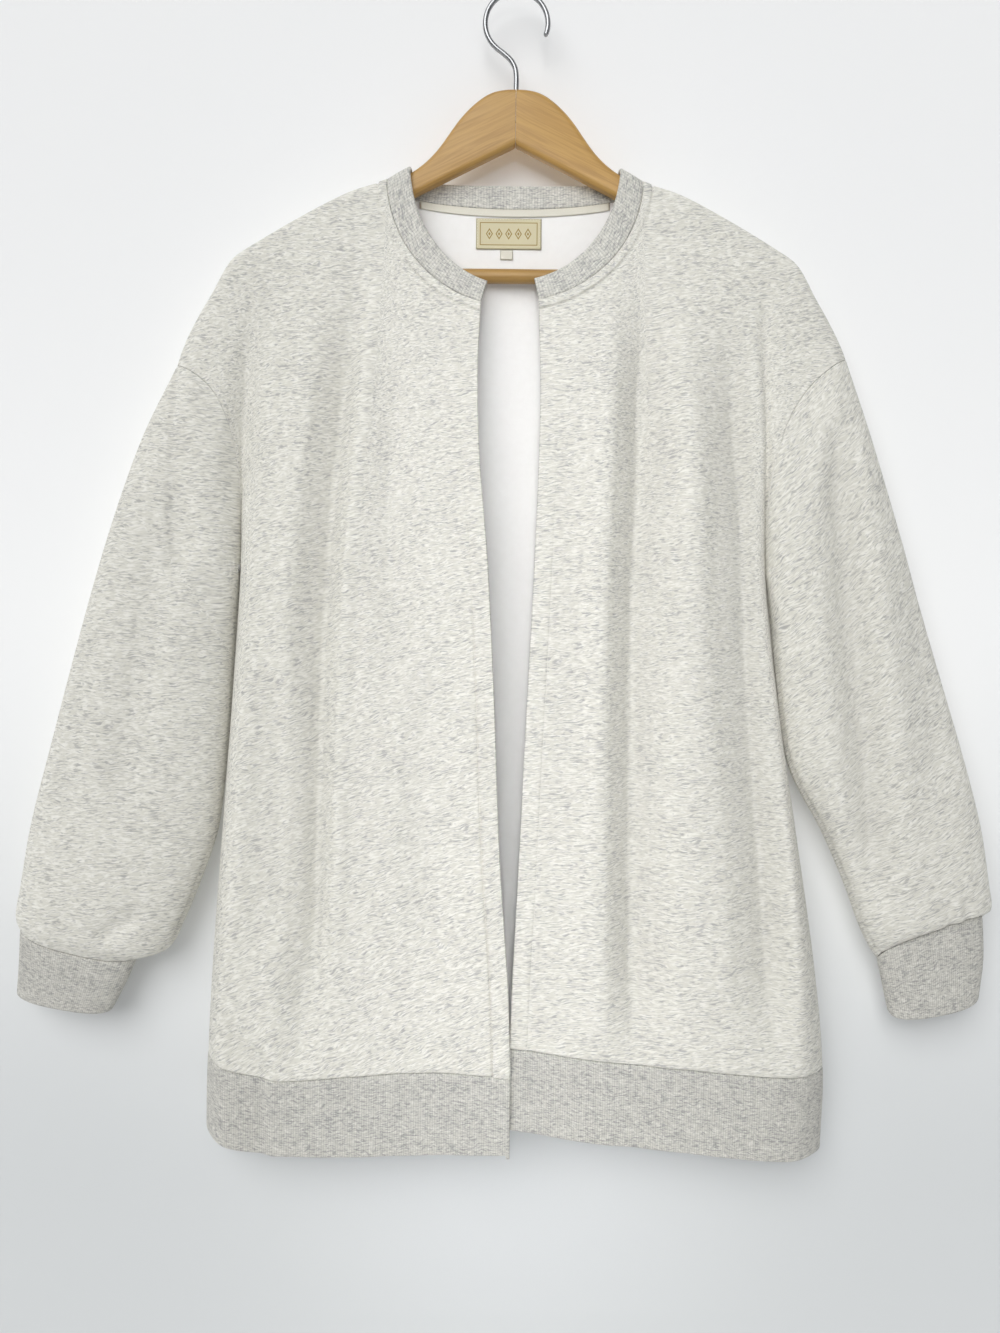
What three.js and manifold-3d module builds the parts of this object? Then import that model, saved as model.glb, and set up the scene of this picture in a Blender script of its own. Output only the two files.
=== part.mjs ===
import * as THREE from 'three';
import { mergeVertices } from 'three/addons/utils/BufferGeometryUtils.js';
import Module from 'manifold-3d';

// Open sweatshirt cardigan hanging on a wooden hanger.
// Millimetres, +Z up, the garment faces -Y and the wearer's left is +X.
// The origin is the point inside the top of the hook that rests on a rail.

// Cloth
const fleeceThickness = 2;
const ribThickness = 2.6;
const tapeThickness = 0.8;
const seamGap = 0.3;
const roundEase = 0.5;
const bandEase = 0.65;
const layGap = 0.4;

// Hanger
const armThickness = 12;
const armRounding = 4;
const barRadius = 5.5;
const barHalfLength = 204;
const barHeight = -213.5;
const wireRadius = 2;
const hookRadius = 24;
const shankTop = -60;
const shankFoot = -96;
const hookArc = { from: 232, to: -24, step: 16 };
const fitGap = 0.3;
const archTop = -115;

// Neck
const neckHalfWidth = 98;
const neckSeamTop = -141.5;
const bandHalfWidth = 80;
const bandTop = -132;
const bandCrownDrop = 6;
const backNeckDrop = 17.5;
const backBandDrop = 9;
const bandProud = 1;
const bandCrossing = 0.3;
const tapeWidth = 6;
const tapeEnd = 74;

// Labels inside the back neck
const label = { left: -30, right: 21, top: -166.2, foot: -190 };
const sizeTab = { left: -11, right: -1, top: -190.4, foot: -198 };

// How the cloth is divided for its faceted walls
const armholeSteps = 10;
const sideSteps = [0.05, 0.13, 0.23, 0.34, 0.46, 0.58, 0.7, 0.81, 0.91, 0.975, 1];
const neckSteps = [1, 0.95, 0.86, 0.7, 0.48, 0.25, 0.1, 0.05, 0.015];
const backNeckAngles = [90, 73, 56, 40, 26, 14, 6.5];
const shoulderSteps = [0, 0.1, 0.26, 0.44, 0.62, 0.77, 0.89, 1];
const sleeveSteps = [
  0, 0.05, 0.11, 0.18, 0.26, 0.35, 0.44, 0.53, 0.62, 0.71, 0.79, 0.86, 0.92, 0.96, 0.985, 1,
];
const hemSteps = [0, 0.3, 0.65, 1];
const cuffSteps = [0, 0.35, 0.7, 1];
const tubeRoundness = 0.8;
const panelSpread = 0.6;
const sideCrowding = 0.85;
const armholeBend = 0.5;
const foldFade = 0.6;

// The outline from the neck over the hanger to the top of the sleeve, x out from the middle.
const shoulderLine = [
  { x: 80, z: -132 },
  { x: 98, z: -141.5 },
  { x: 127, z: -151 },
  { x: 165, z: -170.5 },
  { x: 204, z: -193.5 },
  { x: 216, z: -202 },
  { x: 223, z: -211.5 },
  { x: 231, z: -226 },
  { x: 243, z: -246 },
  { x: 254, z: -268 },
  { x: 260, z: -286 },
];

// How far the front and the back stand off the hanger's middle plane.
const front = {
  sign: -1,
  overArm: 10,
  sideRound: 25,
  depths: [
    { z: -250, depth: 19 },
    { z: -440, depth: 26 },
    { z: -640, depth: 30 },
    { z: -830, depth: 33 },
  ],
};
const back = {
  sign: 1,
  overArm: 11,
  sideRound: 22,
  depths: [
    { z: -250, depth: 14 },
    { z: -440, depth: 17 },
    { z: -640, depth: 20 },
    { z: -830, depth: 21 },
  ],
};

// Over the arm the cloth hugs the wood and takes its full depth lower down. Past the tip it rounds over.
const armSettle = 260;
const wing = { from: 215, to: 250, depth: 20, settle: 80, crown: 36 };
const creaseFloor = 3;
const hemTaper = 0.04;
const hemGather = { depth: 3, height: 12 };

// Low down the right front laps over the left one.
const lapping = { reach: 70, from: 560, to: 800, right: 3, left: -2 };

// How closely the crease beside the body is drawn in, from the hanger's tip down to the underarm.
const creaseStrength = [
  { z: -212, share: 0 },
  { z: -270, share: 0.25 },
  { z: -335, share: 0.6 },
  { z: -440, share: 1 },
];

// The wearer's right, at -X. Every x in it is measured outwards from the middle.
const rightSide = {
  name: 'right',
  sign: -1,
  underarm: -440,
  neckDepth: 98.5,
  bandDepth: 92,
  bodySide: [
    { z: -210, x: 200 },
    { z: -335, x: 208 },
    { z: -440, x: 210 },
    { z: -540, x: 216 },
    { z: -634, x: 223 },
    { z: -743, x: 231 },
    { z: -820, x: 235 },
    { z: -885, x: 236.5 },
  ],
  armhole: [
    { x: 259.5, z: -285 },
    { x: 215, z: -300 },
    { x: 207, z: -340 },
    { x: 210, z: -440 },
  ],
  frontEdge: [
    { z: -237, x: 25 },
    { z: -290, x: 27 },
    { z: -352, x: 25 },
    { z: -434, x: 18 },
    { z: -539, x: 12 },
    { z: -653, x: 7 },
    { z: -768, x: -1 },
    { z: -888, x: -4 },
  ],
  hem: [
    { x: -4, seam: -827, foot: -888 },
    { x: 60, seam: -825, foot: -890 },
    { x: 122, seam: -829, foot: -892 },
    { x: 175, seam: -833, foot: -889 },
    { x: 208, seam: -826, foot: -882 },
    { x: 237, seam: -819, foot: -874 },
  ],
  sleeve: [
    { at: 0, outX: 259.5, outZ: -285, inX: 210, inZ: -440, front: 20, back: 15, bow: 0 },
    { at: 0.15, outX: 286, outZ: -340, inX: 213.7, inZ: -478, front: 24, back: 17, bow: 0 },
    { at: 0.3, outX: 309, outZ: -405, inX: 216.6, inZ: -522, front: 27, back: 19, bow: 0 },
    { at: 0.5, outX: 334, outZ: -490, inX: 221, inZ: -583, front: 28, back: 20, bow: 0 },
    { at: 0.7, outX: 357, outZ: -577, inX: 228.5, inZ: -645, front: 28, back: 20, bow: 0 },
    { at: 0.85, outX: 373.5, outZ: -642, inX: 243, inZ: -687, front: 28, back: 20, bow: 0 },
    { at: 0.94, outX: 382, outZ: -690, inX: 256, inZ: -718, front: 27, back: 20, bow: -2 },
    { at: 0.98, outX: 386, outZ: -712, inX: 268, inZ: -738, front: 23, back: 18, bow: -6 },
    { at: 1, outX: 383, outZ: -722, inX: 291, inZ: -743, front: 15, back: 12, bow: -9 },
  ],
  cuff: [
    { at: 0, outX: 383, outZ: -722, inX: 291, inZ: -743, front: 15, back: 12, bow: -9 },
    { at: 0.5, outX: 384, outZ: -749, inX: 301, inZ: -766, front: 14, back: 11, bow: -7 },
    { at: 1, outX: 386, outZ: -775, inX: 312, inZ: -788, front: 13, back: 11, bow: -4 },
  ],
};

// The wearer's left, at +X.
const leftSide = {
  name: 'left',
  sign: 1,
  underarm: -440,
  neckDepth: 94.5,
  bandDepth: 87,
  bodySide: [
    { z: -210, x: 190 },
    { z: -335, x: 195.5 },
    { z: -440, x: 197 },
    { z: -538, x: 208 },
    { z: -640, x: 224 },
    { z: -742, x: 240.5 },
    { z: -825, x: 249.5 },
    { z: -890, x: 248.5 },
  ],
  armhole: [
    { x: 256.5, z: -275.5 },
    { x: 212, z: -297 },
    { x: 192, z: -345 },
    { x: 197, z: -440 },
  ],
  frontEdge: [
    { z: -234, x: 18.5 },
    { z: -290, x: 20.5 },
    { z: -352, x: 20 },
    { z: -463, x: 16 },
    { z: -577, x: 11 },
    { z: -676, x: 7 },
    { z: -768, x: 3 },
    { z: -872, x: 0 },
  ],
  hem: [
    { x: 0, seam: -806, foot: -870 },
    { x: 60, seam: -814, foot: -879 },
    { x: 112, seam: -819, foot: -884 },
    { x: 173, seam: -824, foot: -889 },
    { x: 215, seam: -827, foot: -891 },
    { x: 250, seam: -828, foot: -889 },
  ],
  sleeve: [
    { at: 0, outX: 256.5, outZ: -275.5, inX: 197, inZ: -440, front: 20, back: 15, bow: 0 },
    { at: 0.15, outX: 276, outZ: -332, inX: 202.6, inZ: -478, front: 24, back: 17, bow: 0 },
    { at: 0.3, outX: 297, outZ: -398, inX: 207.4, inZ: -520, front: 26, back: 19, bow: 0 },
    { at: 0.5, outX: 324, outZ: -487, inX: 218, inZ: -587, front: 27, back: 20, bow: 0 },
    { at: 0.7, outX: 350.5, outZ: -572, inX: 246, inZ: -641, front: 27, back: 20, bow: 0 },
    { at: 0.85, outX: 368, outZ: -634, inX: 264, inZ: -681, front: 26, back: 20, bow: 0 },
    { at: 0.94, outX: 376.5, outZ: -682, inX: 277, inZ: -715, front: 24, back: 19, bow: 1 },
    { at: 0.98, outX: 379, outZ: -702, inX: 286, inZ: -733, front: 20, back: 16, bow: 5 },
    { at: 1, outX: 372.5, outZ: -710, inX: 292, inZ: -741, front: 14, back: 12, bow: 10 },
  ],
  cuff: [
    { at: 0, outX: 372.5, outZ: -710, inX: 292, inZ: -741, front: 14, back: 12, bow: 10 },
    { at: 0.5, outX: 374, outZ: -741, inX: 297, inZ: -763, front: 13, back: 11, bow: 2 },
    { at: 1, outX: 371, outZ: -771, inX: 302, inZ: -785, front: 13, back: 11, bow: -6 },
  ],
};

// The deepest folds, each a soft trough that runs down a panel and fades at both ends.
const folds = [
  { side: rightSide, face: front, topX: 128, topZ: -190, footX: 154, footZ: -620, width: 22, depth: 5 },
  { side: leftSide, face: front, topX: 91, topZ: -180, footX: 84, footZ: -850, width: 20, depth: 6 },
  { side: leftSide, face: front, topX: 143, topZ: -210, footX: 190, footZ: -800, width: 24, depth: 5 },
  { side: rightSide, face: back, topX: 120, topZ: -200, footX: 150, footZ: -820, width: 30, depth: 5 },
  { side: leftSide, face: back, topX: 130, topZ: -200, footX: 165, footZ: -780, width: 28, depth: 4 },
];

// The hanger's outline, from its peak down over one arm, round the tip and back under it.
const armOutline = [
  { x: 0, z: -73 },
  { x: 12, z: -74 },
  { x: 20, z: -76.5 },
  { x: 28, z: -81.5 },
  { x: 36.5, z: -89 },
  { x: 44, z: -97.5 },
  { x: 51.5, z: -108 },
  { x: 58, z: -117 },
  { x: 65, z: -125 },
  { x: 73, z: -132 },
  { x: 84, z: -139 },
  { x: 112, z: -152.5 },
  { x: 165, z: -177.5 },
  { x: 190, z: -191.5 },
  { x: 208, z: -203.5 },
  { x: 218, z: -211.5 },
  { x: 222, z: -218 },
  { x: 219, z: -224 },
  { x: 211, z: -226 },
  { x: 200, z: -224 },
  { x: 193, z: -211.5 },
];

// Finish of each material
const finishes = {
  heatherFleece: { color: 0xdedcd2, roughness: 0.95, metalness: 0 },
  rib: { color: 0xd2d0c8, roughness: 0.95, metalness: 0 },
  creamTape: { color: 0xe4e1d5, roughness: 0.85, metalness: 0 },
  wovenLabel: { color: 0xd6d0b6, roughness: 0.7, metalness: 0 },
  beech: { color: 0xc9a066, roughness: 0.45, metalness: 0 },
  steel: { color: 0xb4b6ba, roughness: 0.28, metalness: 1 },
};

const { lerp, clamp, smoothstep } = THREE.MathUtils;

// A smooth curve through one column of a table, read where `key` is `at`.
function follow(rows, key, column, at) {
  const last = rows.length - 1;
  const direction = Math.sign(rows[last][key] - rows[0][key]);
  let i = 0;
  while (i < last - 1 && (at - rows[i + 1][key]) * direction > 0) {
    i += 1;
  }
  const rise = (a, b) => (rows[b][column] - rows[a][column]) / (rows[b][key] - rows[a][key]);
  const span = rows[i + 1][key] - rows[i][key];
  const t = clamp((at - rows[i][key]) / span, 0, 1);
  const startSlope = rise(Math.max(i - 1, 0), i + 1) * span;
  const endSlope = rise(i, Math.min(i + 2, last)) * span;
  const start = rows[i][column];
  const step = rows[i + 1][column] - start;
  return start + t * startSlope
    + t * t * (3 * step - 2 * startSlope - endSlope)
    + t * t * t * (startSlope + endSlope - 2 * step);
}

// 0 at an edge, rising like a quarter circle to 1.
function roundOff(share) {
  const left = 1 - clamp(share, 0, 1);
  return Math.sqrt(1 - left * left);
}

function foldDepth(side, face, x, z) {
  let sum = 0;
  for (const fold of folds) {
    if (fold.side === side && fold.face === face) {
      const run = (fold.topZ - z) / (fold.topZ - fold.footZ);
      const distance = Math.abs(x - lerp(fold.topX, fold.footX, run)) / fold.width;
      if (run > 0 && run < 1 && distance < 1) {
        const across = Math.cos(distance * Math.PI / 2) ** 2;
        sum += fold.depth * across * Math.sin(Math.PI * run) ** foldFade;
      }
    }
  }
  return sum;
}

// How much of the depth is left beside the crease where body and sleeve meet.
function besideCrease(side, face, x, z) {
  const creaseX = follow(side.bodySide, 'z', 'x', z);
  const share = follow(creaseStrength, 'z', 'share', z);
  return 1 - share * (1 - roundOff(Math.abs(x - creaseX) / face.sideRound));
}

// How far the cloth's outer face stands from the hanger's middle plane at a place on the body.
function bodyDepth(side, face, x, z) {
  const drop = follow(shoulderLine, 'x', 'z', x) - z;
  const pastArm = smoothstep(x, wing.from, wing.to);
  const hung = lerp(follow(face.depths, 'z', 'depth', z), wing.depth, pastArm);
  const depth = lerp(face.overArm, hung, smoothstep(drop, 0, lerp(armSettle, wing.settle, pastArm)));
  const crown = roundOff(drop / lerp(face.overArm, wing.crown, pastArm));
  const hemZ = follow(side.hem, 'x', 'seam', x);
  const gather = hemGather.depth * (1 - roundOff((z - hemZ) / hemGather.height));
  const stands = depth * crown;
  const creased = (stands - foldDepth(side, face, x, z) - gather) * besideCrease(side, face, x, z);
  return z > side.underarm + 1 ? Math.max(creased, Math.min(creaseFloor, stands)) : creased;
}

function lap(side, x, z) {
  const near = 1 - smoothstep(x, 0, lapping.reach);
  return near * smoothstep(-z, lapping.from, lapping.to) * lapping[side.name];
}

function facePoint(side, face, x, z) {
  const lapped = face === front ? lap(side, x, z) : 0;
  return new THREE.Vector3(side.sign * x, face.sign * (bodyDepth(side, face, x, z) + lapped), z);
}

// Where a section of a flattened tube lies along its width, and how deep it is there.
function tubeShare(step, steps) {
  const angle = Math.PI * step / steps;
  const across = Math.cos(angle);
  return {
    along: (1 - Math.sign(across) * Math.abs(across) ** tubeRoundness) / 2,
    depth: Math.sin(angle) ** tubeRoundness,
  };
}

function armholePlace(side, step) {
  const [top, upper, lower, under] = side.armhole.map((p) => new THREE.Vector2(p.x, p.z));
  const curve = new THREE.CubicBezierCurve(top, upper, lower, under);
  return curve.getPoint(tubeShare(step, armholeSteps).along);
}

// The outer edge of a body panel: down the armhole seam to the underarm, then down the side seam.
function panelOutside(side) {
  const places = [];
  for (let step = 0; step <= armholeSteps; step += 1) {
    const place = armholePlace(side, step);
    places.push({ x: place.x, z: place.y });
  }
  const cornerZ = follow(side.hem, 'x', 'seam', side.hem.at(-1).x);
  for (const step of sideSteps) {
    const z = lerp(side.underarm, cornerZ, step);
    places.push({ x: follow(side.bodySide, 'z', 'x', z), z });
  }
  return places;
}

// The top edge of a body panel, from the middle of the neck out to the top of the armhole.
function neckPlaces(side) {
  const edge = side.frontEdge[0].x / neckHalfWidth;
  const reach = Math.sqrt(1 - edge * edge);
  return neckSteps.map((step) => {
    const down = step * reach;
    const x = neckHalfWidth * Math.sqrt(1 - down * down);
    return { x, z: neckSeamTop - side.neckDepth * down };
  });
}

function backNeckPlaces() {
  return backNeckAngles.map((degrees) => {
    const angle = degrees * Math.PI / 180;
    return { x: neckHalfWidth * Math.cos(angle), z: neckSeamTop - backNeckDrop * Math.sin(angle) };
  });
}

function shoulderPlaces(side) {
  const end = side.armhole[0];
  return shoulderSteps.map((step) => {
    const x = lerp(neckHalfWidth, end.x, step);
    return { x, z: step === 1 ? end.z : follow(shoulderLine, 'x', 'z', x) };
  });
}

// One half of a body panel: columns hang from the top edge to the hem, rows run out to the side.
function panelHalf(side, face, topPlaces, insideX) {
  const outside = panelOutside(side);
  const first = outside[0];
  const last = outside.at(-1);
  const lastColumn = topPlaces.length - 1;
  return outside.map((rim) => {
    const run = (first.z - rim.z) / (first.z - last.z);
    const spread = smoothstep(run, 0, panelSpread);
    return topPlaces.map((top, column) => {
      if (column === lastColumn) {
        return facePoint(side, face, rim.x, rim.z);
      }
      const even = Math.sin(column / lastColumn * Math.PI / 2) ** sideCrowding;
      const footX = lerp(side.hem[0].x, last.x, even);
      const z = lerp(top.z, follow(side.hem, 'x', 'seam', footX), run);
      const swept = clamp((top.x - neckHalfWidth) / (first.x - neckHalfWidth), 0, 1) ** 2;
      const hung = Math.max(top.x + (rim.x - first.x) * swept, insideX(z));
      const x = column === 0 ? insideX(z) : lerp(hung, lerp(insideX(z), rim.x, even), spread);
      return facePoint(side, face, x, z);
    });
  });
}

function frontPanel(side) {
  const top = [...neckPlaces(side), ...shoulderPlaces(side)];
  return panelHalf(side, front, top, (z) => follow(side.frontEdge, 'z', 'x', z));
}

// Both halves of the back in one piece, from the wearer's right to the left.
function backPanel() {
  const halves = [rightSide, leftSide].map((side) => {
    const top = [...backNeckPlaces(), ...shoulderPlaces(side)];
    return panelHalf(side, back, top, () => 0);
  });
  return halves[0].map((row, i) => {
    const middle = row[0].clone().add(halves[1][i][0]).multiplyScalar(0.5);
    return [...row.slice(1).reverse(), middle, ...halves[1][i].slice(1)];
  });
}

// A ring of a sleeve or cuff: across the front from its outside to its inside, then back behind.
function tubeRing(side, row, bend) {
  const ring = [];
  for (let step = 0; step < 2 * armholeSteps; step += 1) {
    const behind = step > armholeSteps;
    const face = behind ? back : front;
    const turn = behind ? 2 * armholeSteps - step : step;
    const { along, depth } = tubeShare(turn, armholeSteps);
    const place = armholePlace(side, turn);
    const [top, , , under] = side.armhole;
    const bow = behind ? 0 : row.bow * depth;
    const x = lerp(row.outX, row.inX, along) + bend * (place.x - lerp(top.x, under.x, along));
    const z = lerp(row.outZ, row.inZ, along) + bend * (place.y - lerp(top.z, under.z, along)) + bow;
    const full = (behind ? row.back : row.front) * depth;
    const clear = bodyDepth(side, face, Math.min(x, top.x), z) + Math.max(x - top.x, 0);
    const held = z > side.underarm ? Math.min(full, clear) : full;
    ring.push(new THREE.Vector3(side.sign * x, face.sign * held, z));
  }
  return ring;
}

function tubeRow(rows, at) {
  const row = {};
  for (const column of ['outX', 'outZ', 'inX', 'inZ', 'front', 'back', 'bow']) {
    row[column] = follow(rows, 'at', column, at);
  }
  return row;
}

function armholeRing(side) {
  const ring = [];
  for (let step = 0; step < 2 * armholeSteps; step += 1) {
    const behind = step > armholeSteps;
    const place = armholePlace(side, behind ? 2 * armholeSteps - step : step);
    const point = facePoint(side, behind ? back : front, place.x, place.y);
    ring.push(point);
  }
  return ring;
}

function sleeveRings(side) {
  return sleeveSteps.map((at) => {
    if (at === 0) {
      return armholeRing(side);
    }
    return tubeRing(side, tubeRow(side.sleeve, at), (1 - smoothstep(at, 0, armholeBend)) ** 2);
  });
}

function cuffRings(side) {
  return cuffSteps.map((at) => tubeRing(side, tubeRow(side.cuff, at), 0));
}

// The neckband's free edge beside one place of the neck seam.
function bandFront(side, down) {
  const x = bandHalfWidth * Math.sqrt(1 - down * down);
  const z = bandTop - side.bandDepth * down;
  const drop = (bandTop - z) / bandCrownDrop;
  const depth = bodyDepth(side, front, neckHalfWidth, neckSeamTop - front.overArm - (bandTop - z));
  return new THREE.Vector3(side.sign * x, -(depth + bandProud) * roundOff(drop), z);
}

// Behind the neck it first crosses the arm, then runs in towards the middle.
function bandBack(side, angle) {
  const crossed = smoothstep(angle, 0, bandCrossing);
  const inward = Math.max(angle - bandCrossing, 0) / (Math.PI / 2 - bandCrossing);
  const x = bandHalfWidth * Math.cos(inward * Math.PI / 2);
  const z = bandTop - bandCrownDrop * crossed - (backBandDrop - bandCrownDrop) * Math.sin(angle) ** 2;
  const depth = (back.overArm + bandProud / 2) * Math.sin(crossed * Math.PI / 2);
  return new THREE.Vector3(side.sign * x, depth, z);
}

function neckbandHalf(side) {
  const rows = [];
  const edge = side.frontEdge[0].x / neckHalfWidth;
  const reach = Math.sqrt(1 - edge * edge);
  neckPlaces(side).forEach((place, i) => {
    rows.push([facePoint(side, front, place.x, place.z), bandFront(side, neckSteps[i] * reach)]);
  });
  const crown = facePoint(side, front, neckHalfWidth, neckSeamTop);
  rows.push([crown, new THREE.Vector3(side.sign * bandHalfWidth, 0, bandTop)]);
  backNeckPlaces().reverse().forEach((place, i) => {
    const angle = backNeckAngles.at(-1 - i) * Math.PI / 180;
    rows.push([facePoint(side, back, place.x, place.z), bandBack(side, angle)]);
  });
  return rows;
}

// Once round the neck from the right front edge to the left one, three points across the band.
function neckband() {
  const right = neckbandHalf(rightSide);
  const left = neckbandHalf(leftSide);
  const middle = right.at(-1).map((point, i) => point.clone().add(left.at(-1)[i]).multiplyScalar(0.5));
  const round = [...right.slice(0, -1), middle, ...left.slice(0, -1).reverse()];
  return round.map(([seam, free]) => [seam, seam.clone().lerp(free, 0.5), free]);
}

// The hem band hangs from the lower edges of the fronts and the back.
function hemBand(right, behind, left) {
  const seams = [...right.at(-1), ...behind.at(-1).slice(1, -1), ...left.at(-1).slice().reverse()];
  return hemSteps.map((run) => seams.map((seam) => {
    const side = seam.x < 0 ? rightSide : leftSide;
    const out = Math.abs(seam.x);
    const height = follow(side.hem, 'x', 'seam', out) - follow(side.hem, 'x', 'foot', out);
    const z = seam.z - height * run;
    const flare = follow(side.bodySide, 'z', 'x', z) / follow(side.bodySide, 'z', 'x', seam.z);
    return new THREE.Vector3(seam.x * flare, seam.y * (1 - hemTaper * run), z);
  }));
}

// A strip that lies on the inside of the back between two heights, divided into columns.
function insideBack(leftX, rightX, steps, topZ, footZ) {
  return [footZ, topZ].map((height) => {
    const row = [];
    for (let step = 0; step <= steps; step += 1) {
      const x = lerp(leftX, rightX, step / steps);
      const side = x < 0 ? rightSide : leftSide;
      const out = Math.abs(x);
      const z = height(out);
      const y = bodyDepth(side, back, out, z) - fleeceThickness - layGap - tapeThickness;
      row.push(new THREE.Vector3(x, y, z));
    }
    return row;
  });
}

function neckSeamZ(x) {
  const share = x / neckHalfWidth;
  return neckSeamTop - backNeckDrop * Math.sqrt(1 - share * share);
}

function tapeStrip() {
  const top = (x) => neckSeamZ(x) - seamGap;
  return insideBack(-tapeEnd, tapeEnd, 12, top, (x) => top(x) - tapeWidth);
}

function flatLabel(size) {
  return insideBack(size.left, size.right, 2, () => size.top, () => size.foot);
}

// Solids that are cut by other solids
const wasm = await Module();
wasm.setup();

function toSolid(geometry) {
  const bare = new THREE.BufferGeometry();
  bare.setAttribute('position', geometry.getAttribute('position'));
  bare.setIndex(geometry.getIndex());
  const merged = mergeVertices(bare, 1e-4);
  return new wasm.Manifold(new wasm.Mesh({
    numProp: 3,
    vertProperties: new Float32Array(merged.getAttribute('position').array),
    triVerts: new Uint32Array(merged.getIndex().array),
  }));
}

function toGeometry(solid) {
  const mesh = solid.getMesh();
  const geometry = new THREE.BufferGeometry();
  geometry.setAttribute('position', new THREE.BufferAttribute(mesh.vertProperties, 3));
  geometry.setIndex(new THREE.BufferAttribute(mesh.triVerts, 1));
  return geometry;
}

function rod(radius, length, sides) {
  return new THREE.CylinderGeometry(radius, radius, length, sides);
}

// One wooden half of the hanger, bored for the hook at the joint and for the bar at its foot.
function hangerArm(side) {
  const outline = new THREE.Shape();
  const overlap = 2 * armThickness;
  outline.moveTo(-overlap, armOutline[0].z);
  outline.lineTo(armOutline[0].x, armOutline[0].z);
  outline.splineThru(armOutline.slice(1).map((place) => new THREE.Vector2(place.x, place.z)));
  outline.lineTo(0, archTop);
  outline.lineTo(-overlap, archTop - overlap);
  outline.closePath();
  const plate = new THREE.ExtrudeGeometry(outline, {
    depth: armThickness - 2 * armRounding,
    bevelThickness: armRounding,
    bevelSize: armRounding,
    bevelOffset: -armRounding,
    bevelSegments: 2,
    curveSegments: 2,
  });
  plate.translate(0, 0, armRounding - armThickness / 2);
  plate.rotateX(Math.PI / 2);
  const other = new THREE.BoxGeometry(2 * overlap, 2 * armThickness, -2 * archTop);
  other.translate(seamGap / 2 - overlap, 0, archTop);
  const hookDepth = armOutline[0].z - shankFoot;
  const hookHole = rod(wireRadius + fitGap, 2 * hookDepth, 12).rotateX(Math.PI / 2);
  hookHole.translate(0, 0, shankFoot - fitGap + hookDepth);
  const barHole = rod(barRadius + fitGap, overlap, 20).rotateZ(Math.PI / 2);
  barHole.translate(barHalfLength + fitGap - overlap / 2, 0, barHeight);
  const cutAway = (solid, tool) => solid.subtract(toSolid(tool));
  const geometry = toGeometry([other, hookHole, barHole].reduce(cutAway, toSolid(plate)));
  if (side.sign < 0) {
    geometry.rotateZ(Math.PI);
  }
  return geometry;
}

function hangerBar() {
  return rod(barRadius, 2 * barHalfLength, 16).rotateZ(Math.PI / 2);
}

// The wire rises from the wood, swings out to one side and goes round over the rail.
function hangerHook() {
  const centre = wireRadius - hookRadius;
  const onHook = (degrees) => {
    const angle = degrees * Math.PI / 180;
    return new THREE.Vector3(hookRadius * Math.cos(angle), 0, centre + hookRadius * Math.sin(angle));
  };
  const route = [
    new THREE.Vector3(0, 0, shankFoot),
    new THREE.Vector3(0, 0, (shankTop + shankFoot) / 2),
    new THREE.Vector3(0, 0, shankTop),
    new THREE.Vector3(-3.2, 0, shankTop + 9),
    new THREE.Vector3(-10, 0, shankTop + 15.5),
  ];
  for (let degrees = hookArc.from; degrees >= hookArc.to; degrees -= hookArc.step) {
    route.push(onHook(degrees));
  }
  const section = new THREE.Shape();
  section.absarc(0, 0, wireRadius, 0, 2 * Math.PI);
  const curve = new THREE.CatmullRomCurve3(route, false, 'centripetal');
  return new THREE.ExtrudeGeometry(section, { steps: 64, curveSegments: 5, extrudePath: curve });
}

// Outward normals of every surface, shared where surfaces meet at a seam.
const seamNormals = new Map();

function pointKey(point) {
  return [point.x, point.y, point.z].map((value) => Math.round(value * 100)).join(' ');
}

function addNormals(rows, closed) {
  const columns = rows[0].length;
  const edge = closed ? columns : columns - 1;
  for (let i = 0; i < rows.length - 1; i += 1) {
    for (let j = 0; j < edge; j += 1) {
      const next = (j + 1) % columns;
      const corners = [rows[i][j], rows[i][next], rows[i + 1][next], rows[i + 1][j]];
      const across = corners[2].clone().sub(corners[0]);
      const normal = across.cross(corners[3].clone().sub(corners[1]));
      for (const corner of corners) {
        const key = pointKey(corner);
        const sum = seamNormals.get(key) ?? new THREE.Vector3();
        seamNormals.set(key, sum.add(normal));
      }
    }
  }
}

function normalAt(point) {
  return seamNormals.get(pointKey(point)).clone().normalize();
}

// Moves a point on an edge of the cloth back from its seam by its ease, square to the seam.
function drawnBack(rows, i, j, closed, ease) {
  const shift = new THREE.Vector3();
  const columns = rows[0].length;
  const at = (row, column) => {
    const wrapped = closed ? (column + columns) % columns : clamp(column, 0, columns - 1);
    return rows[clamp(row, 0, rows.length - 1)][wrapped];
  };
  const away = (before, after, inner) => {
    const inward = normalAt(rows[i][j]).cross(after.clone().sub(before)).normalize();
    const side = Math.sign(inward.dot(inner.clone().sub(rows[i][j])));
    shift.addScaledVector(inward, side * ease);
  };
  if (i === 0 || i === rows.length - 1) {
    away(at(i, j - 1), at(i, j + 1), at(i === 0 ? 1 : i - 1, j));
  }
  if (!closed && (j === 0 || j === columns - 1)) {
    away(at(i - 1, j), at(i + 1, j), at(i, j === 0 ? 1 : j - 1));
  }
  return shift;
}

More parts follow.
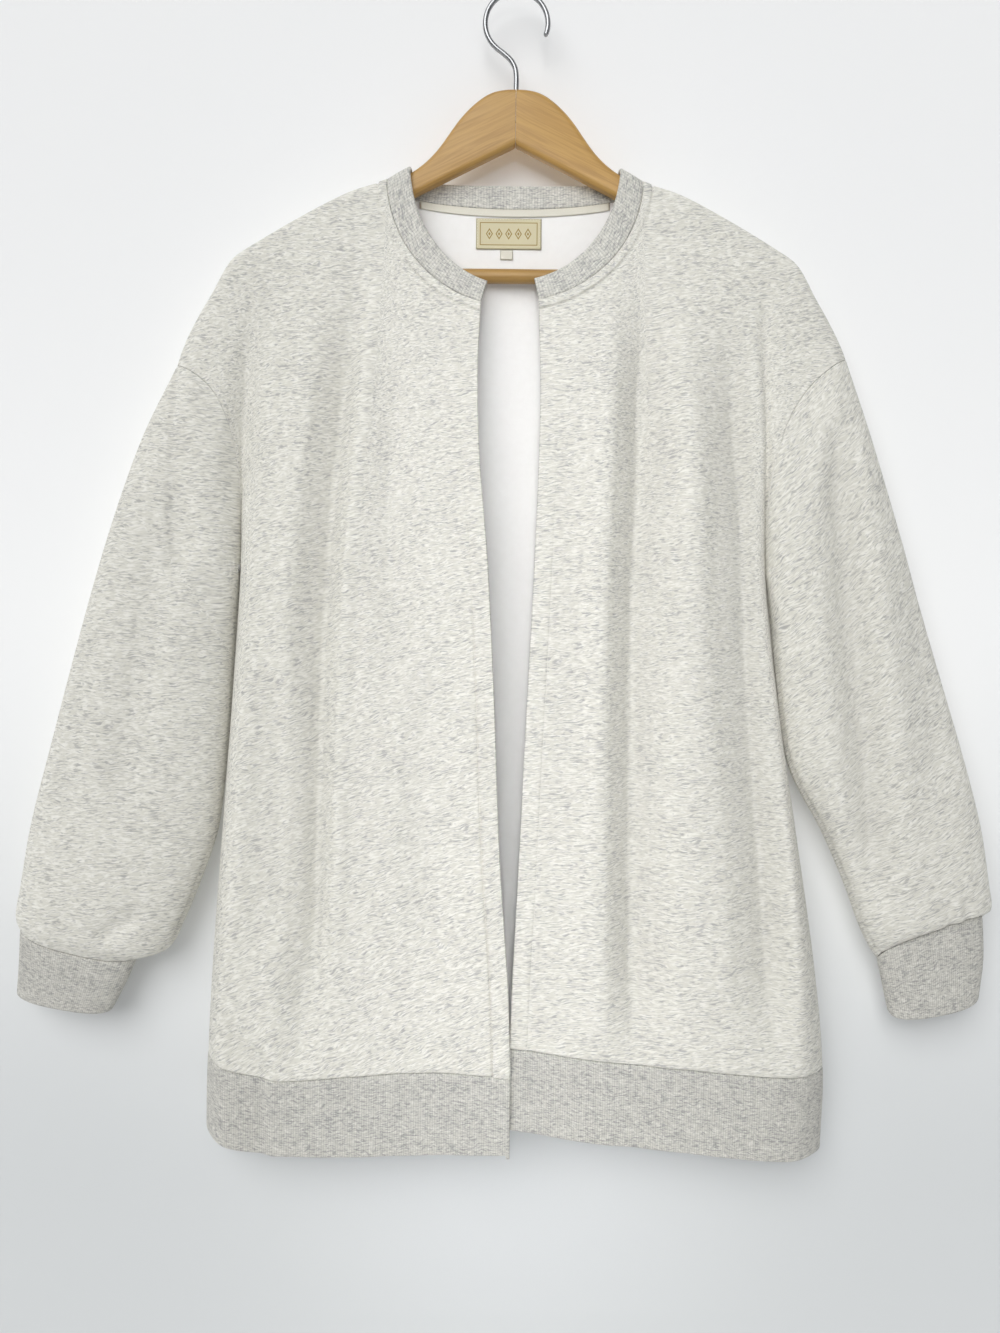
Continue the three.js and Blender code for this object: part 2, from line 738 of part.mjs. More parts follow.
// A closed wall of cloth: the outer face, the inner face behind it, and the rims between them.
function clothWall({ rows, thickness, closed, ease }) {
  const columns = rows[0].length;
  const count = rows.length * columns;
  const positions = [];
  for (const depth of [0, thickness]) {
    rows.forEach((row, i) => row.forEach((point, j) => {
      const place = point.clone().add(drawnBack(rows, i, j, closed, ease ?? seamGap / 2));
      place.addScaledVector(normalAt(point), -depth);
      positions.push(place.x, place.y, place.z);
    }));
  }
  const faces = [];
  const at = (i, j) => i * columns + (j % columns);
  const quad = (a, b, c, d) => faces.push(a, b, c, a, c, d);
  const edge = closed ? columns : columns - 1;
  const foot = rows.length - 1;
  for (let j = 0; j < edge; j += 1) {
    for (let i = 0; i < foot; i += 1) {
      quad(at(i, j), at(i, j + 1), at(i + 1, j + 1), at(i + 1, j));
      quad(count + at(i, j), count + at(i + 1, j), count + at(i + 1, j + 1), count + at(i, j + 1));
    }
    quad(at(0, j + 1), at(0, j), count + at(0, j), count + at(0, j + 1));
    quad(at(foot, j), at(foot, j + 1), count + at(foot, j + 1), count + at(foot, j));
  }
  if (!closed) {
    for (let i = 0; i < foot; i += 1) {
      quad(at(i, 0), at(i + 1, 0), count + at(i + 1, 0), count + at(i, 0));
      quad(at(i + 1, edge), at(i, edge), count + at(i, edge), count + at(i + 1, edge));
    }
  }
  const geometry = new THREE.BufferGeometry();
  geometry.setAttribute('position', new THREE.Float32BufferAttribute(positions, 3));
  geometry.setIndex(faces);
  return geometry;
}

// The same surface seen from its other side, so that its faces point out.
function mirrored(rows) {
  return rows.map((row) => [...row].reverse());
}

const cardigan = new THREE.Group();

function addMesh(name, geometry, finish) {
  const mesh = new THREE.Mesh(geometry, new THREE.MeshStandardMaterial(finish));
  mesh.name = name;
  cardigan.add(mesh);
}

const panels = { right: frontPanel(rightSide), left: frontPanel(leftSide), back: backPanel() };
const band = hemBand(panels.right, panels.back, panels.left);

const cloths = [
  { name: 'front_right', rows: panels.right, thickness: fleeceThickness, finish: 'heatherFleece' },
  { name: 'front_left', rows: mirrored(panels.left), thickness: fleeceThickness, finish: 'heatherFleece' },
  { name: 'back', rows: panels.back, thickness: fleeceThickness, finish: 'heatherFleece' },
  { name: 'hem_band', rows: band, thickness: ribThickness, finish: 'rib' },
  { name: 'neckband', rows: neckband(), thickness: ribThickness, finish: 'rib', ease: bandEase },
  { name: 'neck_tape', rows: tapeStrip(), thickness: tapeThickness, finish: 'creamTape' },
  { name: 'label', rows: flatLabel(label), thickness: tapeThickness, finish: 'wovenLabel' },
  { name: 'size_tab', rows: flatLabel(sizeTab), thickness: tapeThickness, finish: 'creamTape' },
];
for (const side of [rightSide, leftSide]) {
  const turned = (rows) => (side === rightSide ? mirrored(rows) : rows);
  cloths.push({
    name: `sleeve_${side.name}`,
    rows: turned(sleeveRings(side)),
    thickness: fleeceThickness,
    finish: 'heatherFleece',
    closed: true,
    ease: roundEase,
  });
  cloths.push({
    name: `cuff_${side.name}`,
    rows: turned(cuffRings(side)),
    thickness: ribThickness,
    finish: 'rib',
    closed: true,
    ease: roundEase,
  });
}

for (const cloth of cloths) {
  addNormals(cloth.rows, cloth.closed);
}
for (const side of [rightSide, leftSide]) {
  const under = side.armhole.at(-1);
  seamNormals.set(pointKey(facePoint(side, front, under.x, under.z)), new THREE.Vector3(0, 0, -1));
}
for (const cloth of cloths) {
  addMesh(cloth.name, clothWall(cloth), finishes[cloth.finish]);
}
addMesh('hanger_arm_right', hangerArm(rightSide), finishes.beech);
addMesh('hanger_arm_left', hangerArm(leftSide), finishes.beech);
addMesh('hanger_bar', hangerBar().translate(0, 0, barHeight), finishes.beech);
addMesh('hanger_hook', hangerHook(), finishes.steel);

export default cardigan;
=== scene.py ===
import math

import bpy
import numpy as np
from mathutils import Matrix, Vector


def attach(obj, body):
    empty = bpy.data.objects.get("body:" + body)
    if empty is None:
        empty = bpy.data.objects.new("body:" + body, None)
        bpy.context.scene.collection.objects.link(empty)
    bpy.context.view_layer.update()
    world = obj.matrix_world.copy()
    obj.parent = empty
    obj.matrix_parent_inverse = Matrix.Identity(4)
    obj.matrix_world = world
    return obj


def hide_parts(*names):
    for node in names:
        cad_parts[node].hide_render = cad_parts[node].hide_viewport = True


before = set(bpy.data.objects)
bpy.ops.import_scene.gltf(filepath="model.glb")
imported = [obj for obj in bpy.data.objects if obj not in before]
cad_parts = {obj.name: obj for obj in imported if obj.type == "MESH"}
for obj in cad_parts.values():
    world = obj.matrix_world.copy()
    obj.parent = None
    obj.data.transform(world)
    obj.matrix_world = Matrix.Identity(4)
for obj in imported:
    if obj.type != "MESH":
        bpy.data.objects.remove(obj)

# Open fleece cardigan on a wooden hanger. The tables are in millimetres, Blender's objects in metres.
# x runs out from the middle of the garment on both sides, the front faces -Y, and z is 0 in the hook.

mm = 0.001
scene = bpy.context.scene
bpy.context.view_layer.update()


def added(name, operator, **settings):
    # the object that an operator adds, with nothing else selected
    bpy.ops.object.select_all(action="DESELECT")
    operator(**settings)
    bpy.context.object.name = name
    return bpy.context.object


cameraView = {"place": (-0.00803, -0.839, -0.4855), "down": 2.0, "roll": 0.55, "lens": 29}

camera = added("Camera", bpy.ops.object.camera_add, location=cameraView["place"])
camera.data.lens = cameraView["lens"]
level = Matrix.Rotation(math.radians(90 - cameraView["down"]), 4, "X")
rolled = Matrix.Rotation(math.radians(cameraView["roll"]), 4, "Z")
camera.rotation_euler = (level @ rolled).to_euler()
scene.camera = camera
print("camera set")


# Sizes of the cardigan
fleece = {"thickness": 2.0, "rows": 126, "columnStep": 3.4, "shoulderStep": 3.8, "sleeveTurns": 53,
          "turning": 7, "facing": 14, "sewnEdge": 0.55}
rib = {"thickness": 2.6, "pitch": 1.8, "neckPitch": 2.2, "depth": 0.3, "level": 0.7, "bulge": 0.5,
       "cuffHeight": 46, "cuffStep": 5, "cuffTurns": 61, "hemHeight": 62, "hemStep": 6, "neckHeight": 20,
       "neckStep": 2.4}
shell = {"neckHalfWidth": 98, "neckSeamTop": -141.5, "bandHalfWidth": 80, "bandTop": -132,
         "bandCrownDrop": 6, "backNeckDrop": 17.5, "backBandDrop": 9, "bandProud": 1, "bandCrossing": 0.3,
         "armSettle": 260, "creaseFloor": 3, "creaseOut": 1.2, "creaseIn": 0.9, "hemTaper": 0.04,
         "hemLevel": 130, "gatherDepth": 3, "gatherHeight": 12, "tubeRoundness": 0.8, "panelSpread": 0.6,
         "armholeBend": 0.5, "sleeveSettle": 0.12}
wing = {"from": 215, "to": 250, "depth": 20, "settle": 80, "crown": 36}
lapping = {"reach": 70, "from": 560, "to": 800, "right": 3, "left": -2}


def table(columns, *rows):
    return {name: np.array([row[i] for row in rows], float) for i, name in enumerate(columns.split())}


def tubeTable(*rows):
    return table("at outX outZ inX inZ front back bow", *rows)


shoulderLine = table("x z", (80, -132), (98, -141.5), (127, -151), (165, -170.5), (204, -193.5),
                     (216, -202), (223, -211.5), (231, -226), (243, -246), (254, -268), (260, -286))
creaseStrength = table("z share", (-206, 0), (-235, 0.3), (-280, 0.6), (-335, 0.8), (-440, 1))

front = {"name": "front", "sign": -1, "overArm": 10, "sideRound": 25,
         "depths": table("z depth", (-250, 19), (-440, 26), (-640, 30), (-830, 33))}
back = {"name": "back", "sign": 1, "overArm": 11, "sideRound": 22,
        "depths": table("z depth", (-250, 14), (-440, 17), (-640, 20), (-830, 21))}

# The wearer's right, at -X
rightSide = {
    "name": "right", "sign": -1, "underarm": -440, "neckDepth": 98.5, "bandDepth": 92, "facingRelief": 1.5,
    "underSeam": (-640, -690),
    "bodySide": table("z x", (-210, 200), (-335, 208), (-440, 210), (-540, 216), (-634, 223),
                      (-743, 231), (-820, 235), (-885, 236.5)),
    "armhole": [(259.5, -285), (215, -300), (207, -340), (210, -440)],
    "frontEdge": table("z x", (-237, 25), (-290, 27), (-352, 25), (-434, 18), (-539, 12), (-653, 7),
                       (-768, -1), (-888, -4)),
    "hem": table("x seam foot", (-4, -827, -888), (60, -825, -890), (122, -829, -892),
                 (175, -833, -892), (208, -826, -887), (237, -819, -878)),
    "sleeve": tubeTable(
        (0, 259.5, -285, 210, -440, 20, 15, 0), (0.15, 286, -340, 213.7, -478, 24, 17, 0),
        (0.3, 309, -405, 216.6, -522, 27, 19, 0), (0.5, 334, -490, 221, -583, 28, 20, 0),
        (0.7, 357, -577, 228.5, -645, 28, 20, 0), (0.85, 373.5, -642, 243, -687, 28, 20, 0),
        (0.94, 382, -690, 256, -718, 27, 20, -2), (0.98, 386, -712, 268, -738, 23, 18, -6),
        (1, 383, -722, 291, -743, 15, 12, -9)),
    "cuff": tubeTable((0, 383, -722, 291, -743, 15, 12, -9), (0.5, 384, -749, 301, -766, 14, 11, -7),
                      (1, 386, -775, 312, -788, 13, 11, -4)),
}

# The wearer's left, at +X
leftSide = {
    "name": "left", "sign": 1, "underarm": -440, "neckDepth": 94.5, "bandDepth": 87, "facingRelief": 0.45,
    "underSeam": (-470, -520),
    "bodySide": table("z x", (-210, 190), (-335, 195.5), (-440, 197), (-538, 208), (-640, 224),
                      (-742, 240.5), (-825, 249.5), (-890, 248.5)),
    "armhole": [(256.5, -275.5), (212, -297), (192, -345), (197, -440)],
    "frontEdge": table("z x", (-234, 18.5), (-290, 20.5), (-352, 20), (-463, 16), (-577, 11),
                       (-676, 7), (-768, 3), (-872, 0)),
    "hem": table("x seam foot", (0, -806, -870), (60, -814, -879), (112, -819, -884),
                 (173, -824, -890), (215, -827, -893), (250, -828, -893)),
    "sleeve": tubeTable(
        (0, 256.5, -275.5, 197, -440, 20, 15, 0), (0.15, 276, -332, 202.6, -478, 24, 17, 0),
        (0.3, 297, -398, 207.4, -520, 26, 19, 0), (0.5, 324, -487, 218, -587, 27, 20, 0),
        (0.7, 350.5, -572, 246, -641, 27, 20, 0), (0.85, 368, -634, 264, -681, 26, 20, 0),
        (0.94, 376.5, -682, 277, -715, 24, 19, 1), (0.98, 379, -702, 286, -733, 20, 16, 5),
        (1, 372.5, -710, 292, -741, 14, 12, 10)),
    "cuff": tubeTable((0, 372.5, -710, 292, -741, 14, 12, 10), (0.5, 374, -741, 297, -763, 13, 11, 2),
                      (1, 371, -771, 302, -785, 13, 11, -6)),
}
sides = (rightSide, leftSide)

# Soft troughs in the cloth, or ridges where the depth is below 0. Each row is its reach to its left and to
# its right as seen on the page of a pattern, its depth, and its route down the cloth, x out from the middle.
creases = {
    "front right": [
        (13, 22, 14, (106, -172), (121, -207), (131, -312), (140, -426), (145, -541), (147, -650),
         (150, -800)),
        (6, 8, -1.8, (96, -184), (100, -210), (105, -242)),
        (18, 14, 7, (183, -200), (193, -235), (201, -280), (206, -335), (209, -400)),
        (24, 14, 3, (88, -260), (94, -380), (92, -470), (86, -560)),
        (30, 18, 4, (62, -480), (68, -600), (62, -740)),
        (16, 26, 6, (182, -500), (176, -620), (178, -740)),
        (10, 12, 5.5, (218, -780), (207, -803), (190, -822), (178, -832)),
        (12, 14, 3.6, (160, -735), (157, -780), (160, -822))],
    "front left": [
        (20, 30, 18, (98, -180), (98, -237), (98, -300), (96, -387), (93, -500), (94, -616), (95, -693),
         (98, -830)),
        (30, 20, 16, (152, -200), (163, -260), (175, -386), (180, -500), (189, -615), (196, -692),
         (205, -826)),
        (18, 18, 2.2, (45, -330), (48, -470), (44, -640))],
    "back right": [(30, 30, 7, (120, -200), (132, -400), (142, -620), (150, -800)),
                   (26, 32, 4.5, (62, -260), (58, -450), (64, -700))],
    "back left": [(30, 30, 6.5, (130, -205), (142, -400), (156, -600), (165, -780)),
                  (30, 24, 4, (46, -240), (52, -420), (50, -660))],
    "sleeve left": [
        (22, 18, 13, (241, -289), (248, -369), (255, -430), (262, -499), (273, -584), (281, -654),
         (290, -705)),
        (20, 24, 5, (300, -420), (318, -520), (330, -610)),
        (5, 5, 2.8, (336, -690), (340, -702), (343, -716)),
        (5, 5, 2.8, (350, -686), (354, -700), (356, -713))],
    "sleeve right": [(22, 30, 5, (262, -360), (276, -460), (292, -560), (300, -640)),
                     (20, 20, 4, (318, -470), (334, -560), (344, -640)),
                     (8, 12, 4, (276, -700), (296, -716), (318, -728))],
    "sleeveBack left": [(26, 26, 5, (262, -400), (290, -530), (318, -650))],
    "sleeveBack right": [(24, 28, 5, (270, -420), (300, -540), (325, -660))],
}


# Curves, and how far the cloth stands off the middle

def lerp(a, b, share):
    return a + (b - a) * share


def smoothstep(value, low, high):
    t = np.clip((value - low) / (high - low), 0, 1)
    return t * t * (3 - 2 * t)


def roundOff(share):
    return np.sqrt(1 - (1 - np.clip(share, 0, 1)) ** 2)


def lengthAlong(points, axis=0):
    # how far each point lies along its line, or along its column or row of a grid
    steps = np.linalg.norm(np.diff(points, axis=axis), axis=-1)
    return np.insert(np.cumsum(steps, axis=axis), 0, 0, axis=axis)


def pointsAt(line, length, at):
    return np.stack([np.interp(at, length, values) for values in line.T], axis=-1)


def follow(rows, at, column=None):
    # the smooth line of a column, or of the last one, through a table that its first column spaces out
    names = list(rows)
    keys, values, at = rows[names[0]], rows[column or names[-1]], np.asarray(at, float)
    if keys[0] > keys[-1]:
        keys, at = -keys, -at
    slopes = np.diff(values) / np.diff(keys)
    rise = np.r_[slopes[0], (values[2:] - values[:-2]) / (keys[2:] - keys[:-2]), slopes[-1]]
    i = np.clip(np.searchsorted(keys, at) - 1, 0, len(keys) - 2)
    span = keys[i + 1] - keys[i]
    t = np.clip((at - keys[i]) / span, 0, 1)
    a, b, step = rise[i] * span, rise[i + 1] * span, values[i + 1] - values[i]
    return values[i] + t * a + t ** 2 * (3 * step - 2 * a - b) + t ** 3 * (a + b - 2 * step)


def smoothRoute(route, parts=6):
    # a bent line through the route's points, rounded at each of them
    x, z = np.array(route, float).T
    rows = {"at": np.arange(len(x)), "x": x, "z": z}
    at = np.arange((len(x) - 1) * parts + 1) / parts
    return np.stack([follow(rows, at, "x"), follow(rows, at, "z")], axis=-1)


# How round the bottom of a fold is, its steepness, the lips beside it, and where along it it is full
fold = {"round": 1.5, "steep": 1.25, "lip": 0.15, "lipFrom": 0.55, "lipWidth": 1.5,
        "fullFrom": 0.25, "fullTo": 0.85}


def creaseDepth(where, x, z):
    total = np.zeros(np.shape(x))
    for left, right, depth, *route in creases[where]:
        line = smoothRoute(route)
        begun = lengthAlong(line)
        nearest = np.full(np.shape(x), 1e9)
        share, side = np.zeros(np.shape(x)), np.zeros(np.shape(x))
        for k, length in enumerate(np.diff(begun)):
            dx, dz = (line[k + 1] - line[k]) / length
            fromX, fromZ = x - line[k][0], z - line[k][1]
            held = np.clip(fromX * dx + fromZ * dz, 0, length)
            distance = np.hypot(fromX - held * dx, fromZ - held * dz)
            closer = distance < nearest
            nearest = np.where(closer, distance, nearest)
            share = np.where(closer, (begun[k] + held) / begun[-1], share)
            side = np.where(closer, fromX * dz - fromZ * dx, side)
        away = (np.sqrt(nearest ** 2 + fold["round"] ** 2) - fold["round"]) / np.where(side > 0, left, right)
        lip = np.sin(np.pi * np.clip((away - fold["lipFrom"]) / fold["lipWidth"], 0, 1)) ** 2
        across = (1 - np.clip(away, 0, 1)) ** fold["steep"] - fold["lip"] * lip
        full = smoothstep(share, 0, fold["fullFrom"]) * smoothstep(share, 1, fold["fullTo"])
        total += depth * across * full
    return total


# The slow unevenness of hanging cloth: the length of each swell across and down, and how far it wanders
swells = [(61, 190, 0.3), (97, 130, 1.1), (38, 240, 2.3), (150, 90, 0.7)]
drape = {"from": 20, "folded": 150, "uneven": 120, "swell": 0.9, "sleeveSwell": 0.7}


def waves(x, z, seed):
    total = 0
    for k, (across, down, wander) in enumerate(swells):
        shift = seed * 1.7 + k * 2.1
        bend = wander * np.sin(z * 2 * np.pi / down + shift * 1.3)
        total = total + np.sin(x * 2 * np.pi / across + shift + bend)
    return total / len(swells)


def hemLine(side, face, column, x):
    # the height of the hem, which behind runs through from side to side at the higher of the two fronts
    z = follow(side["hem"], x, column)
    if face is front:
        return z
    middle = max(follow(each["hem"], 0, column) for each in sides)
    return lerp(middle, z, smoothstep(np.asarray(x, float), 0, shell["hemLevel"]))


def besideCrease(side, face, x, z):
    past = x - follow(side["bodySide"], z)
    reach = face["sideRound"] * np.where(past > 0, shell["creaseOut"], shell["creaseIn"])
    return 1 - follow(creaseStrength, z) * (1 - roundOff(np.abs(past) / reach))


def bodyDepth(side, face, x, z):
    drop = follow(shoulderLine, x) - z
    pastArm = smoothstep(x, wing["from"], wing["to"])
    hung = lerp(follow(face["depths"], z), wing["depth"], pastArm)
    settle = lerp(shell["armSettle"], wing["settle"], pastArm)
    depth = lerp(face["overArm"], hung, smoothstep(drop, 0, settle))
    stands = depth * roundOff(drop / lerp(face["overArm"], wing["crown"], pastArm))
    aboveHem = (z - hemLine(side, face, "seam", x)) / shell["gatherHeight"]
    gather = shell["gatherDepth"] * (1 - roundOff(aboveHem))
    folds = creaseDepth(face["name"] + " " + side["name"], x, z)
    folds = folds * smoothstep(drop, drape["from"], drape["folded"])
    swell = drape["swell"] * waves(x * side["sign"], z, face["sign"])
    swell = swell * smoothstep(drop, drape["from"], drape["uneven"])
    creased = (stands - folds - swell - gather) * besideCrease(side, face, x, z)
    floor = np.minimum(shell["creaseFloor"], stands)
    return np.where(z > side["underarm"] + 1, np.maximum(creased, floor), creased)


def facePoints(side, face, x, z):
    depth = bodyDepth(side, face, x, z)
    if face is front:
        near = 1 - smoothstep(x, 0, lapping["reach"])
        depth = depth + near * smoothstep(-z, lapping["from"], lapping["to"]) * lapping[side["name"]]
    return np.stack([side["sign"] * x, face["sign"] * depth, np.broadcast_to(z, np.shape(x))], axis=-1)


def bezier(points, t):
    a, b, c, d = np.array(points, float)
    t = np.asarray(t, float)[..., None]
    return a * (1 - t) ** 3 + 3 * b * t * (1 - t) ** 2 + 3 * c * t ** 2 * (1 - t) + d * t ** 3


def tubeShare(turn):
    across = np.cos(turn)
    along = (1 - np.sign(across) * np.abs(across) ** shell["tubeRoundness"]) / 2
    return along, np.clip(np.sin(turn), 0, 1) ** shell["tubeRoundness"]


# The grids of points that the cloth runs through. Their rows and columns close up at an edge, and on both
# sides of a row of stitching.
closeSteps = [0, 0.12, 0.4, 0.85, 1.4, 2.1, 3]
stitchSteps = [4.2, 5.2, 5.9, 6.4, 7, 7.6, 8.1, 8.9, 10.4]
facingSteps = [5, 7.5, 10, 11.8, 12.9, 13.5, 14, 14.5, 15.1, 16.2, 18, 21]
belowStitchSteps = [12.5, 15, 18, 21.5]
aboveHemSteps = [4, 5.2, 6.8, 8.8, 11]
bandEdgeSteps = np.array([0, 0.12, 0.45, 1, 1.9])


def spaced(start, stop, step):
    return np.linspace(start, stop, max(2, round(abs(stop - start) / step) + 1))


def neckArc(side, face):
    # the neck seam from the front edge, or from the middle of the back, out to the shoulder
    low, height = np.pi / 2, shell["backNeckDrop"]
    if face is front:
        low, height = math.acos(side["frontEdge"]["x"][0] / shell["neckHalfWidth"]), side["neckDepth"]
    angles = np.linspace(low, 0, 400)
    x = shell["neckHalfWidth"] * np.cos(angles)
    z = shell["neckSeamTop"] - height * np.sin(angles)
    return x, z, lengthAlong(np.stack([x, z], axis=-1))


def rimX(side, z):
    curve = bezier(side["armhole"], np.linspace(0, 1, 600))
    onArmhole = np.interp(-z, -curve[:, 1], curve[:, 0])
    return np.where(z > side["underarm"], onArmhole, follow(side["bodySide"], z))


def panelHalf(side, face):
    # rows run from the neck and shoulder down to the hem, columns from the free edge or the middle out
    end, neckWide = side["armhole"][0], shell["neckHalfWidth"]
    x, z, length = neckArc(side, face)
    edge = np.array(closeSteps + facingSteps if face is front else [0, 3.4, 6.8])
    onNeck = np.r_[edge, spaced(edge[-1], length[-1], fleece["columnStep"])[1:]]
    near = neckWide + np.array(closeSteps[1:] + stitchSteps)
    far = end[0] - np.array(closeSteps[::-1])
    shoulder = np.r_[near, spaced(near[-1], far[0], fleece["shoulderStep"])[1:-1], far]
    topX = np.r_[np.interp(onNeck, length, x), shoulder]
    topZ = np.r_[np.interp(onNeck, length, z), follow(shoulderLine, shoulder)]
    topZ[-1] = end[1]

    total = end[1] - follow(side["hem"], side["hem"]["x"][-1], "seam")
    top = np.array(closeSteps + stitchSteps + belowStitchSteps)
    foot = total - np.array(closeSteps + aboveHemSteps)[::-1]
    run = np.r_[top, np.linspace(top[-1], foot[0], fleece["rows"])[1:-1], foot][:, None] / total

    rimZ = end[1] - run * total
    outside = rimX(side, rimZ)
    columns, held = len(topX), len(edge)
    even = 1 - (1 - np.arange(columns - held + 1) / (columns - held)) ** 1.5
    footEdge = side["hem"]["x"][0] if face is front else 0
    footX = np.r_[footEdge + edge[:-1], lerp(footEdge + edge[-1], outside[-1, 0], even)]
    rows = lerp(topZ, hemLine(side, face, "seam", footX), run)
    rows = rows + (rimZ - rows[:, -1:]) * np.linspace(0, 1, columns) ** 4
    inside = follow(side["frontEdge"], rows) if face is front else np.zeros(rows.shape)
    swept = np.clip((topX - neckWide) / (end[0] - neckWide), 0, 1) ** 2
    pull = np.clip((neckWide - topX) / (neckWide - topX[0]), 0, 1)
    hung = topX + (outside - end[0]) * swept + (inside - topX[0]) * pull
    target = np.hstack([inside[:, :held] + edge, lerp(inside[:, held:] + edge[-1], outside, even[1:])])
    places = lerp(hung, target, smoothstep(run, 0, shell["panelSpread"]))
    places[:, :held] = target[:, :held]
    places[:, -1] = outside[:, 0]
    places[0] = topX
    return places, rows


def frontGrid(side):
    return facePoints(side, front, *panelHalf(side, front))


def backGrid():
    right, left = (facePoints(side, back, *panelHalf(side, back)) for side in sides)
    return np.concatenate([right[:, :0:-1], (right[:, :1] + left[:, :1]) / 2, left[:, 1:]], axis=1)


def tubeGrid(side, part, steps, turnSteps):
    # rings across the front from the outside to the inside, then back behind
    rows = {name: follow(side[part], steps, name)[:, None] for name in side[part]}
    turn = np.r_[turnSteps, 2 * np.pi - turnSteps[-2:0:-1]]
    behind = turn > np.pi
    along, depth = tubeShare(np.where(behind, 2 * np.pi - turn, turn))
    depth[np.isclose(turn, np.pi)] = 0
    top, under = np.array(side["armhole"][0]), np.array(side["armhole"][3])
    bend = (1 - smoothstep(steps, 0, shell["armholeBend"])) ** 2 if part == "sleeve" else np.zeros(len(steps))
    bent = bend[:, None, None] * (bezier(side["armhole"], along) - lerp(top, under, along[:, None]))
    x = lerp(rows["outX"], rows["inX"], along) + bent[..., 0]
    z = lerp(rows["outZ"], rows["inZ"], along) + bent[..., 1] + np.where(behind, 0, rows["bow"] * depth)
    y = np.empty(x.shape)
    for face, here in ((front, ~behind), (back, behind)):
        clear = bodyDepth(side, face, np.minimum(x, top[0]), z) + np.maximum(x - top[0], 0)
        full = rows[face["name"]] * depth
        if part == "sleeve":
            where = ("sleeve " if face is front else "sleeveBack ") + side["name"]
            swell = drape["sleeveSwell"] * waves(x, z, 4 + face["sign"])
            full = full - (creaseDepth(where, x, z) + swell) * depth * smoothstep(
                steps, 0, shell["sleeveSettle"])[:, None]
        held = np.where(z > side["underarm"], np.minimum(full, clear), full)
        if part == "sleeve":
            held[0] = bodyDepth(side, face, x[0], z[0])
        y = np.where(here, face["sign"] * held, y)
    return np.stack([side["sign"] * x, y, z], axis=-1)


def sleeveGrid(side):
    # rows close up at the armhole, above the cuff and at the cuff's seam
    steps = np.r_[0, 0.0003, 0.001, 0.0022, 0.004, np.linspace(0.007, 0.9, 104),
                  np.linspace(0.9, 0.985, 24)[1:], 0.989, 0.992, 0.9945, 0.9965, 0.998, 0.9991, 0.9997, 1]
    return tubeGrid(side, "sleeve", steps, np.linspace(0, np.pi, fleece["sleeveTurns"]))


def resampled(line, count):
    # the same line with its points evenly spaced
    length = lengthAlong(line)
    return pointsAt(line, length, np.linspace(0, length[-1], count + 1))


def ribPoints(line):
    return 4 * round(lengthAlong(line)[-1] / rib["pitch"])


def bandSteps(height, step):
    near = bandEdgeSteps
    return np.r_[near, spaced(near[-1], height - near[-1], step)[1:-1], height - near[::-1]] / height


def cuffGrid(side):
    steps = bandSteps(rib["cuffHeight"], rib["cuffStep"])
    rings = tubeGrid(side, "cuff", steps, np.linspace(0, np.pi, rib["cuffTurns"]))
    rings = np.concatenate([rings, rings[:, :1]], axis=1)
    return np.stack([resampled(ring, ribPoints(rings[0]))[:-1] for ring in rings])


def hemGrid(right, behind, left):
    seam = np.concatenate([right[-1], behind[-1, 1:-1], left[-1, ::-1]])
    seam = resampled(seam, ribPoints(seam))
    rows = []
    for run in bandSteps(rib["hemHeight"], rib["hemStep"]):
        z, flare = np.empty(len(seam)), np.empty(len(seam))
        for side, face in ((rightSide, front), (leftSide, front), (rightSide, back), (leftSide, back)):
            mine = (seam[:, 0] * side["sign"] >= 0) & (seam[:, 1] * face["sign"] >= 0)
            out = np.abs(seam[mine, 0])
            height = hemLine(side, face, "seam", out) - hemLine(side, face, "foot", out)
            z[mine] = seam[mine, 2] - height * run
            flare[mine] = follow(side["bodySide"], z[mine]) / follow(side["bodySide"], seam[mine, 2])
        rows.append(np.stack([seam[:, 0] * flare, seam[:, 1] * (1 - shell["hemTaper"] * run), z], axis=-1))
    return np.stack(rows)


def neckbandLines():
    # the neck seam and the band's free edge, once round from the right front edge to the left one
    wide, top, crown = shell["neckHalfWidth"], shell["neckSeamTop"], shell["bandCrownDrop"]
    halves = []
    for side in sides:
        angles = np.linspace(math.acos(side["frontEdge"]["x"][0] / wide), 0, 160)
        seam = facePoints(side, front, wide * np.cos(angles), top - side["neckDepth"] * np.sin(angles))
        fall = side["bandDepth"] * np.sin(angles)
        depth = bodyDepth(side, front, np.full(fall.shape, float(wide)), top - front["overArm"] - fall)
        y = -(depth + shell["bandProud"]) * roundOff(fall / crown)
        x = side["sign"] * shell["bandHalfWidth"] * np.cos(angles)
        free = np.stack([x, y, shell["bandTop"] - fall], axis=-1)
        angles = np.linspace(0, np.pi / 2, 120)[1:]
        seamZ = top - shell["backNeckDrop"] * np.sin(angles)
        seamBehind = facePoints(side, back, wide * np.cos(angles), seamZ)
        crossed = smoothstep(angles, 0, shell["bandCrossing"])
        inward = np.maximum(angles - shell["bandCrossing"], 0) / (np.pi / 2 - shell["bandCrossing"])
        x = side["sign"] * shell["bandHalfWidth"] * np.cos(inward * np.pi / 2)
        y = (back["overArm"] + shell["bandProud"] / 2) * np.sin(crossed * np.pi / 2)
        z = shell["bandTop"] - crown * crossed - (shell["backBandDrop"] - crown) * np.sin(angles) ** 2
        halves.append((np.vstack([seam, seamBehind]), np.vstack([free, np.stack([x, y, z], axis=-1)])))
    return [np.vstack([right[:-1], (right[-1:] + left[-1:]) / 2, left[-2::-1]])
            for right, left in zip(*halves)]


